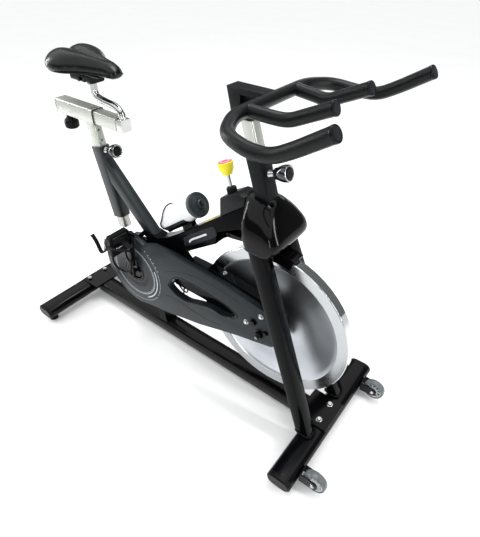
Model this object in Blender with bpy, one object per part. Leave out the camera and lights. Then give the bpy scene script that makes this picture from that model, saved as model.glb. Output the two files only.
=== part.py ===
"""Indoor spin bike, built at rest as separate named pieces.

Metres, +Z up, +X towards the handlebars, +Y to the rider's left. The working frame has x = 0 at the
flywheel axle, y = 0 on the centre plane and z = 0 on the floor. AXLE_X moves it all so that the
middle of the bounding box stands over the origin.
"""

import math

import bpy
from mathutils import Vector

AXLE_X = 0.305  # flywheel axle in front of the middle of the bounding box
GAP = 0.0003  # clearance between neighbouring pieces

# Base
STAB_SIZE = (0.078, 0.046)
STAB_LOW = 0.026
STAB_HALF = 0.255
STAB_FRONT_X = 0.216
STAB_REAR_X = -0.905
CAP_END = 0.270
PLATE_TOP = 0.0773
PLATE_BOLTS = ((0.214, 0.035), (0.214, -0.035), (-0.905, 0.040), (-0.905, -0.040))
FOOT_Y = 0.240
FOOT_PAD_R = 0.017
FOOT_STEM_R = 0.005
WHEEL_X = 0.298
WHEEL_Y = 0.200
WHEEL_Z = 0.052
WHEEL_R = 0.036

# Fork and head
LEG_X = 0.172  # rear edge at LEG_Z
LEG_Z = 0.080
LEG_SLOPE = -0.399
LEG_OUTER = 0.114
LEG_SPLAY = -0.056
LEG_SECTION = (0.049, 0.043)
LEG_TOP = 0.680
LEG_LOW = PLATE_TOP + GAP
HEAD_X = -0.089  # rear edge of the head tube at HEAD_Z
HEAD_Z = 0.800
HEAD_SLOPE = -0.323
HEAD_SECTION = (0.046, 0.048)
HEAD_LOW = 0.640
HEAD_TOP = 0.870
POST_SECTION = (0.034, 0.035)
POST_LOW = 0.700
POST_TOP = 0.9437
STEM_LOW = 0.944

# Drive
BB = (-0.538, 0.328)
AXLE_Z = 0.356
CRANK_LENGTH = 0.170
CRANK_ANGLE = math.radians(80)
DRIVE_PULLEY_R = 0.118
FLY_PULLEY_R = 0.032
BELT_LOW = -0.0686
BELT_HIGH = -0.0564
RIM_R = 0.2515
RIM_HALF = 0.016
GUARD_FACE = -0.074
GUARD_SEAM = -0.0535
GUARD_WALL = 0.0022

# Seat
SEAT_X = -0.683  # seat tube centre at SEAT_Z
SEAT_Z = 0.600
SEAT_SLOPE = -0.220
SEAT_SECTION = (0.050, 0.042)
SEAT_LOW = 0.475
SEAT_TOP = 0.717
SEAT_POST = (0.040, 0.032)
SEAT_POST_LOW = 0.435
PIN_Z = 0.702  # pull pin on the seat tube
SLEEVE_LOW = 0.793
SLEEVE_HIGH = 0.840
SADDLE_UP = 0.008  # how far the saddle and its clamp stand above their drawn height
SADDLE_TILT = (-0.685, 0.0, 0.9145 + SADDLE_UP)

# Brake
BRAKE_AXIS = Vector((-0.300, 0.0, 0.954)).normalized()
BRAKE_PIVOT = (-0.165, 0.600)
PAD_R = (0.2535, 0.2625)
SHOE_R = (0.2628, 0.2668)
PAD_ARC = (math.radians(-3), math.radians(13))

# Bottle
BOTTLE_AXIS = Vector((0.797, 0.0, 0.604)).normalized()
BOTTLE_R = 0.0365
BOTTLE_FRONT = Vector((-0.280, 0.0, 0.655))


# ---------------------------------------------------------------- helpers

def clear_scene():
    for obj in list(bpy.data.objects):
        bpy.data.objects.remove(obj, do_unlink=True)


def material(name, colour, roughness, metallic):
    made = bpy.data.materials.new(name)
    made.use_nodes = True
    shader = made.node_tree.nodes["Principled BSDF"]
    shader.inputs["Base Color"].default_value = (*colour, 1.0)
    shader.inputs["Roughness"].default_value = roughness
    shader.inputs["Metallic"].default_value = metallic
    return made


def steel_black(name):
    return material(name, (0.020, 0.021, 0.024), 0.35, 0.6)


def powder_grey(name):
    return material(name, (0.055, 0.060, 0.070), 0.50, 0.3)


def chrome(name):
    return material(name, (0.80, 0.81, 0.82), 0.08, 1.0)


def bare_steel(name):
    return material(name, (0.45, 0.46, 0.47), 0.35, 1.0)


def plastic_black(name):
    return material(name, (0.016, 0.016, 0.018), 0.45, 0.0)


def plastic_grey(name):
    return material(name, (0.16, 0.17, 0.19), 0.50, 0.0)


def rubber(name):
    return material(name, (0.012, 0.012, 0.012), 0.85, 0.0)


def build(name, shape, mat, origin=(0.0, 0.0, 0.0), smooth=None):
    """One object from (points, faces) in the working frame, with its own origin."""
    points, faces = shape
    origin = Vector(origin)
    mesh = bpy.data.meshes.new(name)
    mesh.from_pydata([Vector(p) - origin for p in points], [], faces)
    mesh.update()
    if smooth is not None:
        mesh.shade_smooth()
        mesh.set_sharp_from_angle(angle=math.radians(smooth))
    obj = bpy.data.objects.new(name, mesh)
    obj.location = origin + Vector((AXLE_X, 0.0, 0.0))
    if mat is not None:
        mesh.materials.append(mat)
    bpy.context.scene.collection.objects.link(obj)
    return obj


def helper(name, shape):
    """A hidden object that a Boolean uses."""
    obj = build(name, shape, None)
    obj.hide_render = True
    obj.display_type = "WIRE"
    return obj


def boolean(obj, shape, operation):
    label = f"{operation.lower()}_{len(obj.modifiers)}_{obj.name}"
    modifier = obj.modifiers.new(label, "BOOLEAN")
    modifier.solver = "EXACT"
    modifier.operation = operation
    modifier.object = helper(label[:58], shape)


def cut(obj, *shapes):
    for shape in shapes:
        boolean(obj, shape, "DIFFERENCE")


def join(obj, *shapes):
    for shape in shapes:
        boolean(obj, shape, "UNION")


def bevel(obj, width, segments=2, angle=35):
    modifier = obj.modifiers.new("bevel", "BEVEL")
    modifier.width = width
    modifier.segments = segments
    modifier.limit_method = "ANGLE"
    modifier.angle_limit = math.radians(angle)


def outward(points, faces):
    """Turns a closed mesh the right way out."""
    total = 0.0
    for face in faces:
        a = Vector(points[face[0]])
        for i in range(1, len(face) - 1):
            total += a.dot(Vector(points[face[i]]).cross(Vector(points[face[i + 1]])))
    if total < 0:
        faces = [tuple(reversed(face)) for face in faces]
    return points, faces


def loft(rings, caps=True, around=False):
    """Joins rings of equally many points. around closes the last ring to the first."""
    count = len(rings[0])
    points = [tuple(p) for ring in rings for p in ring]
    faces = []
    spans = len(rings) if around else len(rings) - 1
    for i in range(spans):
        a = i * count
        b = ((i + 1) % len(rings)) * count
        for j in range(count):
            k = (j + 1) % count
            faces.append((a + j, a + k, b + k, b + j))
    if caps and not around:
        faces.append(tuple(reversed(range(count))))
        last = (len(rings) - 1) * count
        faces.append(tuple(range(last, last + count)))
    return outward(points, faces)


def rounded(width, height, radius, steps=3):
    """A rounded rectangle about (0, 0)."""
    points = []
    corners = ((1, 1, 0), (-1, 1, 90), (-1, -1, 180), (1, -1, 270))
    for sx, sy, start in corners:
        for i in range(steps + 1):
            angle = math.radians(start + 90 * i / steps)
            x = sx * (width / 2 - radius) + radius * math.cos(angle)
            y = sy * (height / 2 - radius) + radius * math.sin(angle)
            points.append((x, y))
    return points


def circle(radius, count, start=0.0):
    step = 2 * math.pi / count
    return [(radius * math.cos(start + i * step), radius * math.sin(start + i * step))
            for i in range(count)]


def place(outline, centre, across, up):
    """A flat outline put in space, its first axis along across and its second along up."""
    centre, across, up = Vector(centre), Vector(across), Vector(up)
    return [centre + across * a + up * b for a, b in outline]


def prism(outline, low, high):
    """An outline of (x, z) points, extruded along y."""
    return loft([[(x, y, z) for x, z in outline] for y in (low, high)])


def slab(outline, low, high):
    """An outline of (x, y) points, extruded along z."""
    return loft([[(x, y, z) for x, y in outline] for z in (low, high)])


def box(x0, x1, y0, y1, z0, z1):
    return slab([(x0, y0), (x1, y0), (x1, y1), (x0, y1)], z0, z1)


def frame_of(direction):
    """Two unit vectors square to the direction, the first near +Y."""
    direction = Vector(direction).normalized()
    side = Vector((0, 1, 0))
    if abs(direction.dot(side)) > 0.95:
        side = Vector((1, 0, 0))
    side = (side - direction * side.dot(direction)).normalized()
    return side, direction.cross(side)


def bar(start, end, outline, inner=None):
    """A straight bar of one section; the outline's first axis lies near y. inner makes it a tube."""
    start, end = Vector(start), Vector(end)
    across, up = frame_of(end - start)
    outer = [place(outline, p, across, up) for p in (start, end)]
    if inner is None:
        return loft(outer)
    hollow = [place(inner, p, across, up) for p in (end, start)]
    return loft(outer + hollow, around=True)


def rod(start, end, radius, count=16):
    return bar(start, end, circle(radius, count))


def lathe(profile, centre, axis, count=32, closed=False):
    """Turns (radius, height) points about an axis. closed profiles make rings."""
    axis = Vector(axis).normalized()
    across, up = frame_of(axis)
    centre = Vector(centre)
    points, rings, faces = [], [], []
    for radius, height in profile:
        base = centre + axis * height
        ring = []
        for i in range(1 if radius == 0 else count):
            a = 2 * math.pi * i / count
            points.append(base + (across * math.cos(a) + up * math.sin(a)) * radius)
            ring.append(len(points) - 1)
        rings.append(ring)
    pairs = list(zip(rings, rings[1:]))
    if closed:
        pairs.append((rings[-1], rings[0]))
    for a, b in pairs:
        for i in range(count):
            j = (i + 1) % count
            quad = [a[i % len(a)], a[j % len(a)], b[j % len(b)], b[i % len(b)]]
            faces.append(tuple(dict.fromkeys(quad)))
    return outward([tuple(p) for p in points], [f for f in faces if len(f) > 2])


def sweep(path, radius, count=12):
    """A round bar along a path, turned as little as possible from ring to ring."""
    path = [Vector(p) for p in path]
    tangents = []
    for i in range(len(path)):
        a = path[max(i - 1, 0)]
        b = path[min(i + 1, len(path) - 1)]
        tangents.append((b - a).normalized())
    across, _ = frame_of(tangents[0])
    rings = []
    for point, tangent in zip(path, tangents):
        across = (across - tangent * across.dot(tangent)).normalized()
        rings.append(place(circle(radius, count), point, across, tangent.cross(across)))
    return loft(rings)


def smooth_path(points, radius, steps=4):
    """The path with each inner corner replaced by a curve of about this radius."""
    points = [Vector(p) for p in points]
    out = [points[0]]
    for before, here, after in zip(points, points[1:], points[2:]):
        back = before - here
        ahead = after - here
        reach = min(radius, back.length * 0.45, ahead.length * 0.45)
        start = here + back.normalized() * reach
        end = here + ahead.normalized() * reach
        for i in range(steps + 1):
            t = i / steps
            out.append(start * (1 - t) ** 2 + here * (2 * t * (1 - t)) + end * t ** 2)
    out.append(points[-1])
    return out


def offset(outline, distance):
    """The outline moved outwards by this much, corners mitred. It runs anticlockwise."""
    out = []
    count = len(outline)
    for i in range(count):
        a, b, c = (Vector(outline[(i + k) % count]) for k in (-1, 0, 1))
        n1 = Vector(((b - a).y, -(b - a).x)).normalized()
        n2 = Vector(((c - b).y, -(c - b).x)).normalized()
        mitre = (n1 + n2) / max(0.35, 1 + n1.dot(n2))
        out.append(tuple(b + mitre * distance))
    return out


def anticlockwise(outline):
    area = sum(a[0] * b[1] - a[1] * b[0] for a, b in zip(outline, outline[1:] + outline[:1]))
    return outline if area > 0 else outline[::-1]


def soften(outline, radius, steps=3):
    """A closed outline with each corner rounded."""
    out = []
    count = len(outline)
    for i in range(count):
        a, b, c = (Vector(outline[(i + k) % count]) for k in (-1, 0, 1))
        reach = min(radius, (a - b).length * 0.45, (c - b).length * 0.45)
        start = b + (a - b).normalized() * reach
        end = b + (c - b).normalized() * reach
        for k in range(steps + 1):
            t = k / steps
            out.append(tuple(start * (1 - t) ** 2 + b * (2 * t * (1 - t)) + end * t ** 2))
    return out


def arc(radius, start, end, steps, centre=(0.0, AXLE_Z)):
    """(x, z) points; the angle runs forward from straight up."""
    return [(centre[0] + radius * math.sin(start + (end - start) * i / steps),
             centre[1] + radius * math.cos(start + (end - start) * i / steps))
            for i in range(steps + 1)]


def arc_block(inner, outer, start, end, low, high, steps=8):
    return prism(arc(inner, start, end, steps) + arc(outer, end, start, steps), low, high)


# ---------------------------------------------------------------- base

def stabilisers():
    outer = rounded(0.046, 0.078, 0.0225, 4)
    inner = rounded(0.040, 0.072, 0.0195, 4)
    middle = STAB_LOW + STAB_SIZE[1] / 2
    cap = rounded(0.046, 0.078, 0.0225, 4)
    small = rounded(0.036, 0.068, 0.0175, 4)
    for end, x in (("front", STAB_FRONT_X), ("rear", STAB_REAR_X)):
        rings = []
        for outline, ys in ((outer, (-1, 1)), (inner, (1, -1))):
            for side in ys:
                rings.append([(x + b, side * STAB_HALF, middle + a) for a, b in outline])
        tube = build(f"stabiliser_{end}", loft(rings, around=True), steel_black(f"stab_{end}"), smooth=40)
        for side in (-1, 1):
            cut(tube, rod((x, side * FOOT_Y, 0.020), (x, side * FOOT_Y, 0.040), 0.0057, 12))
            label = f"end_cap_{end}_{'left' if side > 0 else 'right'}"
            y0 = side * (STAB_HALF + GAP)
            caps = [[(x + b, y0, middle + a) for a, b in cap],
                    [(x + b, side * (CAP_END - 0.004), middle + a) for a, b in cap],
                    [(x + b, side * CAP_END, middle + a) for a, b in small]]
            build(label, loft(caps), plastic_black(label), smooth=50)


def levelling_feet():
    profile = [(0, 0), (FOOT_PAD_R, 0), (FOOT_PAD_R, 0.010), (0.012, 0.014), (FOOT_STEM_R, 0.014),
               (FOOT_STEM_R, 0.045), (0, 0.045)]
    for end, x in (("front", STAB_FRONT_X), ("rear", STAB_REAR_X)):
        for side, word in ((-1, "right"), (1, "left")):
            name = f"levelling_foot_{end}_{word}"
            centre = (x, side * FOOT_Y, 0)
            build(name, lathe(profile, centre, (0, 0, 1), 16), rubber(name), centre, 40)


def transport_wheels():
    profile = [(0.0045, -0.012), (0.012, -0.012), (0.014, -0.009), (0.030, -0.009), (0.033, -0.012),
               (WHEEL_R, -0.008), (WHEEL_R, 0.008), (0.033, 0.012), (0.030, 0.009), (0.014, 0.009),
               (0.012, 0.012), (0.0045, 0.012)]
    plate = [(0.2553, 0.034), (0.300, 0.036), (0.312, 0.046), (0.312, 0.060), (0.300, 0.068),
             (0.2553, 0.068)]
    for side, word in ((-1, "right"), (1, "left")):
        y = side * WHEEL_Y
        centre = (WHEEL_X, y, WHEEL_Z)
        name = f"transport_wheel_{word}"
        build(name, lathe(profile, centre, (0, 1, 0), 22, closed=True),
              material(name, (0.62, 0.64, 0.66), 0.35, 0.0), centre, 35)
        name = f"wheel_bracket_{word}"
        bracket = build(name, prism(plate, y + 0.0145, y + 0.0185), steel_black(name), smooth=30)
        join(bracket, prism(plate, y - 0.0185, y - 0.0145),
             box(0.2553, 0.2593, y - 0.0175, y + 0.0175, 0.035, 0.067),
             rod((WHEEL_X, y - 0.021, WHEEL_Z), (WHEEL_X, y + 0.021, WHEEL_Z), 0.0042, 12))


def base_beam():
    front = STAB_FRONT_X - STAB_SIZE[0] / 2 - GAP
    rear = STAB_REAR_X + STAB_SIZE[0] / 2 + GAP
    outer = rounded(0.060, 0.047, 0.006, 2)
    inner = rounded(0.054, 0.041, 0.004, 2)
    z = STAB_LOW + 0.0235
    beam = build("base_beam", bar((rear, 0, z), (front, 0, z), outer, inner), steel_black("base_beam"),
                 smooth=40)
    top = STAB_LOW + STAB_SIZE[1] + GAP
    join(beam, box(-0.925, rear + 0.030, -0.060, 0.060, top, PLATE_TOP),
         box(front - 0.030, 0.250, -0.060, 0.060, top, PLATE_TOP))
    for x, y in PLATE_BOLTS:
        join(beam, rod((x, y, PLATE_TOP - 0.002), (x, y, PLATE_TOP + 0.006), 0.0075, 6))


# ---------------------------------------------------------------- frame

def leg_centre(z):
    x = LEG_X + LEG_SLOPE * (z - LEG_Z) + LEG_SECTION[0] / 2
    y = LEG_OUTER + LEG_SPLAY * (z - LEG_Z) - LEG_SECTION[1] / 2
    return x, y


def leg_ring(z, side, grow=0.0):
    x, y = leg_centre(z)
    outline = rounded(LEG_SECTION[0] + 2 * grow, LEG_SECTION[1] + 2 * grow, 0.009, 2)
    return [(x + a, side * y + b, z) for a, b in outline]


def leg_rear(z):
    return LEG_X + LEG_SLOPE * (z - LEG_Z)


def fork_legs():
    for side, word in ((-1, "right"), (1, "left")):
        outer = [leg_ring(z, side) for z in (LEG_LOW, LEG_TOP)]
        inner = [leg_ring(z, side, -0.003) for z in (LEG_TOP, LEG_LOW)]
        name = f"fork_leg_{word}"
        build(name, loft(outer + inner, around=True), powder_grey(name), smooth=40)


def head_rear(z):
    return HEAD_X + HEAD_SLOPE * (z - HEAD_Z)


def head_centre(z):
    return head_rear(z) + HEAD_SECTION[0] / 2 / HEAD_DIR.z


HEAD_DIR = Vector((HEAD_SLOPE, 0, 1)).normalized()
HEAD_ACROSS = Vector((HEAD_DIR.z, 0, -HEAD_DIR.x))
SEAT_DIR = Vector((SEAT_SLOPE, 0, 1)).normalized()
SEAT_ACROSS = Vector((SEAT_DIR.z, 0, -SEAT_DIR.x))


def on_head(z):
    return (head_centre(z), 0, z)


def on_seat(z):
    return (SEAT_X + SEAT_SLOPE * (z - SEAT_Z), 0, z)


def head_tube():
    outer = rounded(HEAD_SECTION[1], HEAD_SECTION[0], 0.008, 3)
    bore = rounded(POST_SECTION[1] + 2 * GAP, POST_SECTION[0] + 2 * GAP, 0.006 + GAP, 3)
    tube = build("head_tube", bar(on_head(HEAD_LOW), on_head(HEAD_TOP), outer), powder_grey("head_tube"),
                 smooth=40)
    for side in (-1, 1):
        rings = []
        for z in (HEAD_LOW, LEG_TOP):
            x, y = leg_centre(z)
            edge = side * (y - LEG_SECTION[1] / 2 - GAP)
            back = head_rear(z) + 0.001
            rings.append([(back, side * 0.018, z), (x + 0.022, side * 0.018, z),
                          (x + 0.022, edge, z), (back, edge, z)])
        join(tube, loft(rings))
    cut(tube, bar(on_head(0.60), on_head(0.90), bore))
    z = 0.816
    face = Vector(on_head(z)) + HEAD_ACROSS * (HEAD_SECTION[0] / 2)
    cut(tube, rod(face - HEAD_ACROSS * 0.012, face + HEAD_ACROSS * 0.01, 0.0045, 12))


def pop_pin(name, face, across):
    face = Vector(face)
    profile = [(0, -0.0045), (0.0038, -0.0045), (0.0038, GAP), (0.0118, GAP), (0.0105, 0.018),
               (0.0135, 0.021),
               (0.0135, 0.029), (0.018, 0.031), (0.0215, 0.044), (0.0215, 0.054), (0.0185, 0.059),
               (0, 0.060)]
    build(name, lathe(profile, face, across, 24), chrome(name), face, 40)


def pop_pins():
    pop_pin("head_pin", Vector(on_head(0.816)) + HEAD_ACROSS * (HEAD_SECTION[0] / 2), HEAD_ACROSS)
    pop_pin("seat_pin", Vector(on_seat(PIN_Z)) + SEAT_ACROSS * (SEAT_SECTION[0] / 2), SEAT_ACROSS)


def beam_outline(grow=0.0):
    top = [(-0.350, 0.535 + grow), (-0.100, 0.725 + grow)]
    low = [(-0.325, 0.476 - grow), (-0.180, 0.575 - grow)]
    slope_top = (top[1][1] - top[0][1]) / (top[1][0] - top[0][0])
    slope_low = (low[1][1] - low[0][1]) / (low[1][0] - low[0][0])
    front = []
    for (x, z), slope in ((low[0], slope_low), (top[0], slope_top)):
        # the head tube's rear face meets the beam line
        reach = (head_rear(z) - x) / (1 - HEAD_SLOPE * slope) - GAP * 1.2
        front.append((x + reach, z + reach * slope))
    return [low[0], front[0], front[1], top[0]]


def upper_beam():
    outline = beam_outline()
    beam = build("upper_beam", prism(outline, -0.025, 0.025), powder_grey("upper_beam"), smooth=35)
    bevel(beam, 0.004)
    low, low_front, top_front, top = outline
    inside = [(low[0] + 0.012, low[1] + 0.014), (low_front[0] + 0.02, low_front[1] + 0.020),
              (top_front[0] + 0.03, top_front[1] + 0.017), (top[0] + 0.008, top[1] - 0.006)]
    cut(beam, prism(inside, -0.0215, 0.0215))
    notch = [(-0.205, 0.540), (-0.085, 0.600), (-0.085, 0.645), (-0.120, 0.645), (-0.205, 0.600)]
    cut(beam, prism(notch, -0.035, 0.0165))
    start = BRAKE_ROD_TOP - BRAKE_AXIS * 0.02
    cut(beam, rod(start, start - BRAKE_AXIS * 0.16, 0.0065, 12))
    pivot = Vector((BRAKE_PIVOT[0], 0, BRAKE_PIVOT[1]))
    join(beam, rod(pivot + Vector((0, -0.014, 0)), pivot + Vector((0, 0.0235, 0)), 0.004, 12))


BRAKE_ROD_TOP = Vector((-0.176, 0, 0.782))


def mid_beam():
    outline = [(-0.620, 0.350), (-0.262, 0.350), (-0.262, 0.405), (-0.335, 0.405), (-0.362, 0.430),
               (-0.3257, 0.4757), (-0.3507, 0.5347), (-0.410, 0.494), (-0.455, 0.470), (-0.520, 0.478),
               (-0.575, 0.420), (-0.620, 0.405)]
    beam = build("mid_beam", prism(outline, -0.0235, 0.0235), powder_grey("mid_beam"), smooth=35)
    shell = lathe([(0, -0.03), (0.0213, -0.03), (0.0213, 0.03), (0, 0.03)], (BB[0], 0, BB[1]), (0, 1, 0),
                  24)
    cut(beam, shell)
    join(beam, rod((-0.51, -0.0285, 0.455), (-0.51, -0.020, 0.455), 0.009, 6))


def brace_tube():
    outer = rounded(0.040, 0.050, 0.012, 3)
    inner = rounded(0.034, 0.044, 0.009, 3)
    start, end = Vector((-0.4550, 0, 0.4185)), Vector((-0.700, 0, 0.6743))
    tube = build("brace_tube", bar(start, end, outer, inner), powder_grey("brace_tube"), smooth=40)
    grown = [(-0.62, 0.30), (-0.20, 0.30), (-0.20, 0.405), (-0.3500, 0.5350), (-0.410, 0.4944),
             (-0.455, 0.4704),
             (-0.5203, 0.4783), (-0.5753, 0.4203), (-0.62, 0.4053)]
    cut(tube, prism(grown, -0.03, 0.03))
    face = Vector(on_seat(0.60)) + SEAT_ACROSS * (SEAT_SECTION[0] / 2 + GAP)
    back = [face - SEAT_DIR * 0.25, face + SEAT_DIR * 0.25, face + SEAT_DIR * 0.25 - SEAT_ACROSS * 0.2,
            face - SEAT_DIR * 0.25 - SEAT_ACROSS * 0.2]
    cut(tube, prism([(p.x, p.z) for p in back], -0.03, 0.03))


def seat_tube():
    outer = rounded(SEAT_SECTION[1], SEAT_SECTION[0], 0.009, 3)
    bore = rounded(SEAT_POST[1] + 2 * GAP, SEAT_POST[0] + 2 * GAP, 0.006 + GAP, 3)
    tube = build("seat_tube", bar(on_seat(SEAT_LOW), on_seat(SEAT_TOP), outer, bore),
                 powder_grey("seat_tube"),
                 smooth=40)
    face = Vector(on_seat(PIN_Z)) + SEAT_ACROSS * (SEAT_SECTION[0] / 2)
    cut(tube, rod(face - SEAT_ACROSS * 0.010, face + SEAT_ACROSS * 0.01, 0.0045, 12))


def stays():
    outline = [(-0.360, 0.345), (-0.225, 0.345), (-0.210, 0.285), (0.045, 0.335),
               (leg_rear(0.335) - GAP, 0.335), (leg_rear(0.460) - GAP, 0.460), (0.000, 0.462),
               (-0.210, 0.487),
               (-0.225, 0.400), (-0.360, 0.400)]
    for side, word in ((-1, "right"), (1, "left")):
        low, high = sorted((side * 0.024, side * 0.052))
        name = f"stay_{word}"
        stay = build(name, prism(outline, low, high), powder_grey(name), smooth=35)
        bore = lathe([(0, -0.02), (0.0163, -0.02), (0.0163, 0.02), (0, 0.02)],
                     (0, side * 0.038, AXLE_Z), (0, 1, 0), 24)
        cut(stay, bore)


def riser():
    outline = [(-0.491, 0.0733), (-0.457, 0.0733), (-0.480, 0.200), (-0.515, 0.3497), (-0.575, 0.3497),
               (-0.560, 0.280), (-0.520, 0.200)]
    post = build("riser", prism(outline, -0.025, 0.025), powder_grey("riser"), smooth=35)
    centre = (BB[0], 0, BB[1])
    join(post, lathe([(0, -0.036), (0.021, -0.036), (0.021, 0.036), (0, 0.036)], centre, (0, 1, 0), 24))
    cut(post, rod((BB[0], -0.05, BB[1]), (BB[0], 0.05, BB[1]), 0.0090, 24))


# ---------------------------------------------------------------- drive

def guard_outline():
    centre = Vector(BB)
    points = [(0.040, 0.325), (leg_rear(0.345) - 0.004, 0.345), (leg_rear(0.450) - 0.004, 0.450),
              (-0.131, 0.472), (-0.226, 0.477), (-0.348, 0.485), (-0.430, 0.480)]
    start = math.atan2(0.469 - centre.y, -0.471 - centre.x)
    end = math.atan2(0.183 - centre.y, -0.530 - centre.x) + 2 * math.pi
    steps = 20
    for i in range(steps + 1):
        a = start + (end - start) * i / steps
        points.append((centre.x + 0.147 * math.cos(a), centre.y + 0.147 * math.sin(a)))
    return points + [(-0.483, 0.194), (-0.405, 0.206), (-0.239, 0.244), (-0.093, 0.291)]


GUARD_HOLE = [(-0.370, 0.348), (-0.352, 0.379), (-0.323, 0.400), (-0.271, 0.407), (-0.189, 0.403),
              (-0.131, 0.397),
              (-0.086, 0.380), (-0.105, 0.357), (-0.144, 0.345), (-0.184, 0.349), (-0.234, 0.339),
              (-0.287, 0.320), (-0.331, 0.321), (-0.360, 0.335)]


def belt_guard():
    outline = anticlockwise(guard_outline())
    hole = soften(anticlockwise(GUARD_HOLE), 0.012, 2)
    cover = build("belt_guard_cover", prism(outline, GUARD_FACE, GUARD_SEAM),
                  plastic_grey("belt_guard_cover"),
                  smooth=30)
    bevel(cover, 0.003, 2, 50)
    cut(cover, prism(offset(outline, -GUARD_WALL), GUARD_FACE + GUARD_WALL, GUARD_SEAM + 0.01))
    join(cover, prism(offset(hole, GUARD_WALL), GUARD_FACE + 0.0005, GUARD_SEAM))
    cut(cover, prism(hole, GUARD_FACE - 0.01, GUARD_SEAM + 0.01))
    cut(cover, rod((BB[0], -0.09, BB[1]), (BB[0], -0.06, BB[1]), 0.036, 32))
    back = build("belt_guard_back", prism(outline, GUARD_SEAM + GAP, -0.0523),
                 plastic_black("belt_guard_back"))
    cut(back, prism(hole, -0.06, -0.05), rod((BB[0], -0.06, BB[1]), (BB[0], -0.04, BB[1]), 0.024, 24),
        rod((0, -0.06, AXLE_Z), (0, -0.04, AXLE_Z), 0.0125, 20))


def flywheel():
    r, w = RIM_R, RIM_HALF
    half = [(0.0123, 0.020), (0.030, 0.020), (0.034, 0.010), (0.150, 0.006), (0.204, 0.008),
            (0.2158, w - 0.002),
            (0.2175, w), (r - 0.002, w), (r, w - 0.002)]
    profile = half + [(a, -b) for a, b in reversed(half)]
    centre = (0, 0, AXLE_Z)
    build("flywheel", lathe(profile, centre, (0, 1, 0), 56, closed=True), chrome("flywheel"), centre, 30)
    # one shaft turns with the wheel and carries its belt pulley
    shaft = [(0, -0.0700), (0.010, -0.0700), (0.010, -0.0695), (0.029, -0.0695), (0.0325, -0.0690),
             (0.032, -0.0688),
             (0.032, -0.0562), (0.0325, -0.0560), (0.029, -0.0555), (0.009, -0.0555), (0.009, -0.0203),
             (0.0120, -0.0203), (0.0120, 0.0203), (0.009, 0.0203), (0.009, 0.062), (0, 0.062)]
    build("flywheel_shaft", lathe(shaft, centre, (0, 1, 0), 20), bare_steel("flywheel_shaft"), centre, 35)
    for side, word in ((-1, "right"), (1, "left")):
        ring = [(0.0093, -0.007), (0.016, -0.007), (0.016, 0.007), (0.0093, 0.007)]
        name = f"hub_bearing_{word}"
        build(name, lathe(ring, (0, side * 0.038, AXLE_Z), (0, 1, 0), 24, closed=True), bare_steel(name),
              smooth=35)


def belt():
    start, end = Vector(BB), Vector((0, AXLE_Z))
    gap = end - start
    lean = math.asin((DRIVE_PULLEY_R - FLY_PULLEY_R) / gap.length)
    heading = math.atan2(gap.y, gap.x)
    rings = []
    outline = []
    for centre, radius, a0, a1, steps in (
            (start, DRIVE_PULLEY_R, math.pi / 2 - lean, 3 * math.pi / 2 + lean, 24),
            (end, FLY_PULLEY_R, -math.pi / 2 + lean, math.pi / 2 - lean, 12)):
        for i in range(steps + 1):
            a = heading + a0 + (a1 - a0) * i / steps
            outline.append((centre, radius, a))
    for grow, y in ((0.0004, BELT_LOW), (0.0024, BELT_LOW), (0.0024, BELT_HIGH), (0.0004, BELT_HIGH)):
        rings.append([(c.x + (r + grow) * math.cos(a), y, c.y + (r + grow) * math.sin(a))
                      for c, r, a in outline])
    build("drive_belt", loft(rings, around=True), rubber("drive_belt"), smooth=40)


def crank_set():
    centre = (BB[0], 0, BB[1])
    r = DRIVE_PULLEY_R
    spindle = [(0, -0.083), (0.0085, -0.083), (0.0085, -0.0700), (0.030, -0.0700), (0.034, -0.0650),
               (r - 0.012, -0.0650), (r - 0.008, -0.0695), (r, -0.0695), (r, -0.0555), (r - 0.008, -0.0555),
               (r - 0.012, -0.0600), (0.034, -0.0600), (0.030, -0.0555), (0.0085, -0.0555), (0.0085, 0.083),
               (0, 0.083)]
    build("crank_spindle", lathe(spindle, centre, (0, 1, 0), 40), bare_steel("crank_spindle"), centre, 35)
    along = Vector((math.cos(CRANK_ANGLE), 0, math.sin(CRANK_ANGLE)))
    square = Vector((-along.z, 0, along.x))
    for side, word in ((-1, "right"), (1, "left")):
        arm = -side * along
        name = f"crank_arm_{word}"
        sections = []
        for reach, wide in ((-0.018, 0.010), (-0.012, 0.016), (0, 0.018), (0.030, 0.0145), (0.140, 0.012),
                            (0.170, 0.0135), (0.180, 0.011), (0.184, 0.006)):
            base = Vector(centre) + arm * reach
            sections.append([base + square * a + Vector((0, side * (0.0885 + b), 0))
                             for a, b in rounded(2 * wide, 0.013, 0.004, 2)])
        piece = build(name, loft(sections), steel_black(name), centre, 40)
        hub = Vector((BB[0], side * 0.0885, BB[1]))
        reach = Vector((0, side * 0.012, 0))
        cut(piece, rod(hub - reach, hub - Vector((0, side * 0.0050, 0)), 0.0088, 20))
        tip = hub + arm * CRANK_LENGTH
        cut(piece, rod(tip - reach, tip + reach, 0.0075, 16))
        join(piece, rod(hub + reach * 0.4, hub + reach * 0.85, 0.011, 16))


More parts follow.
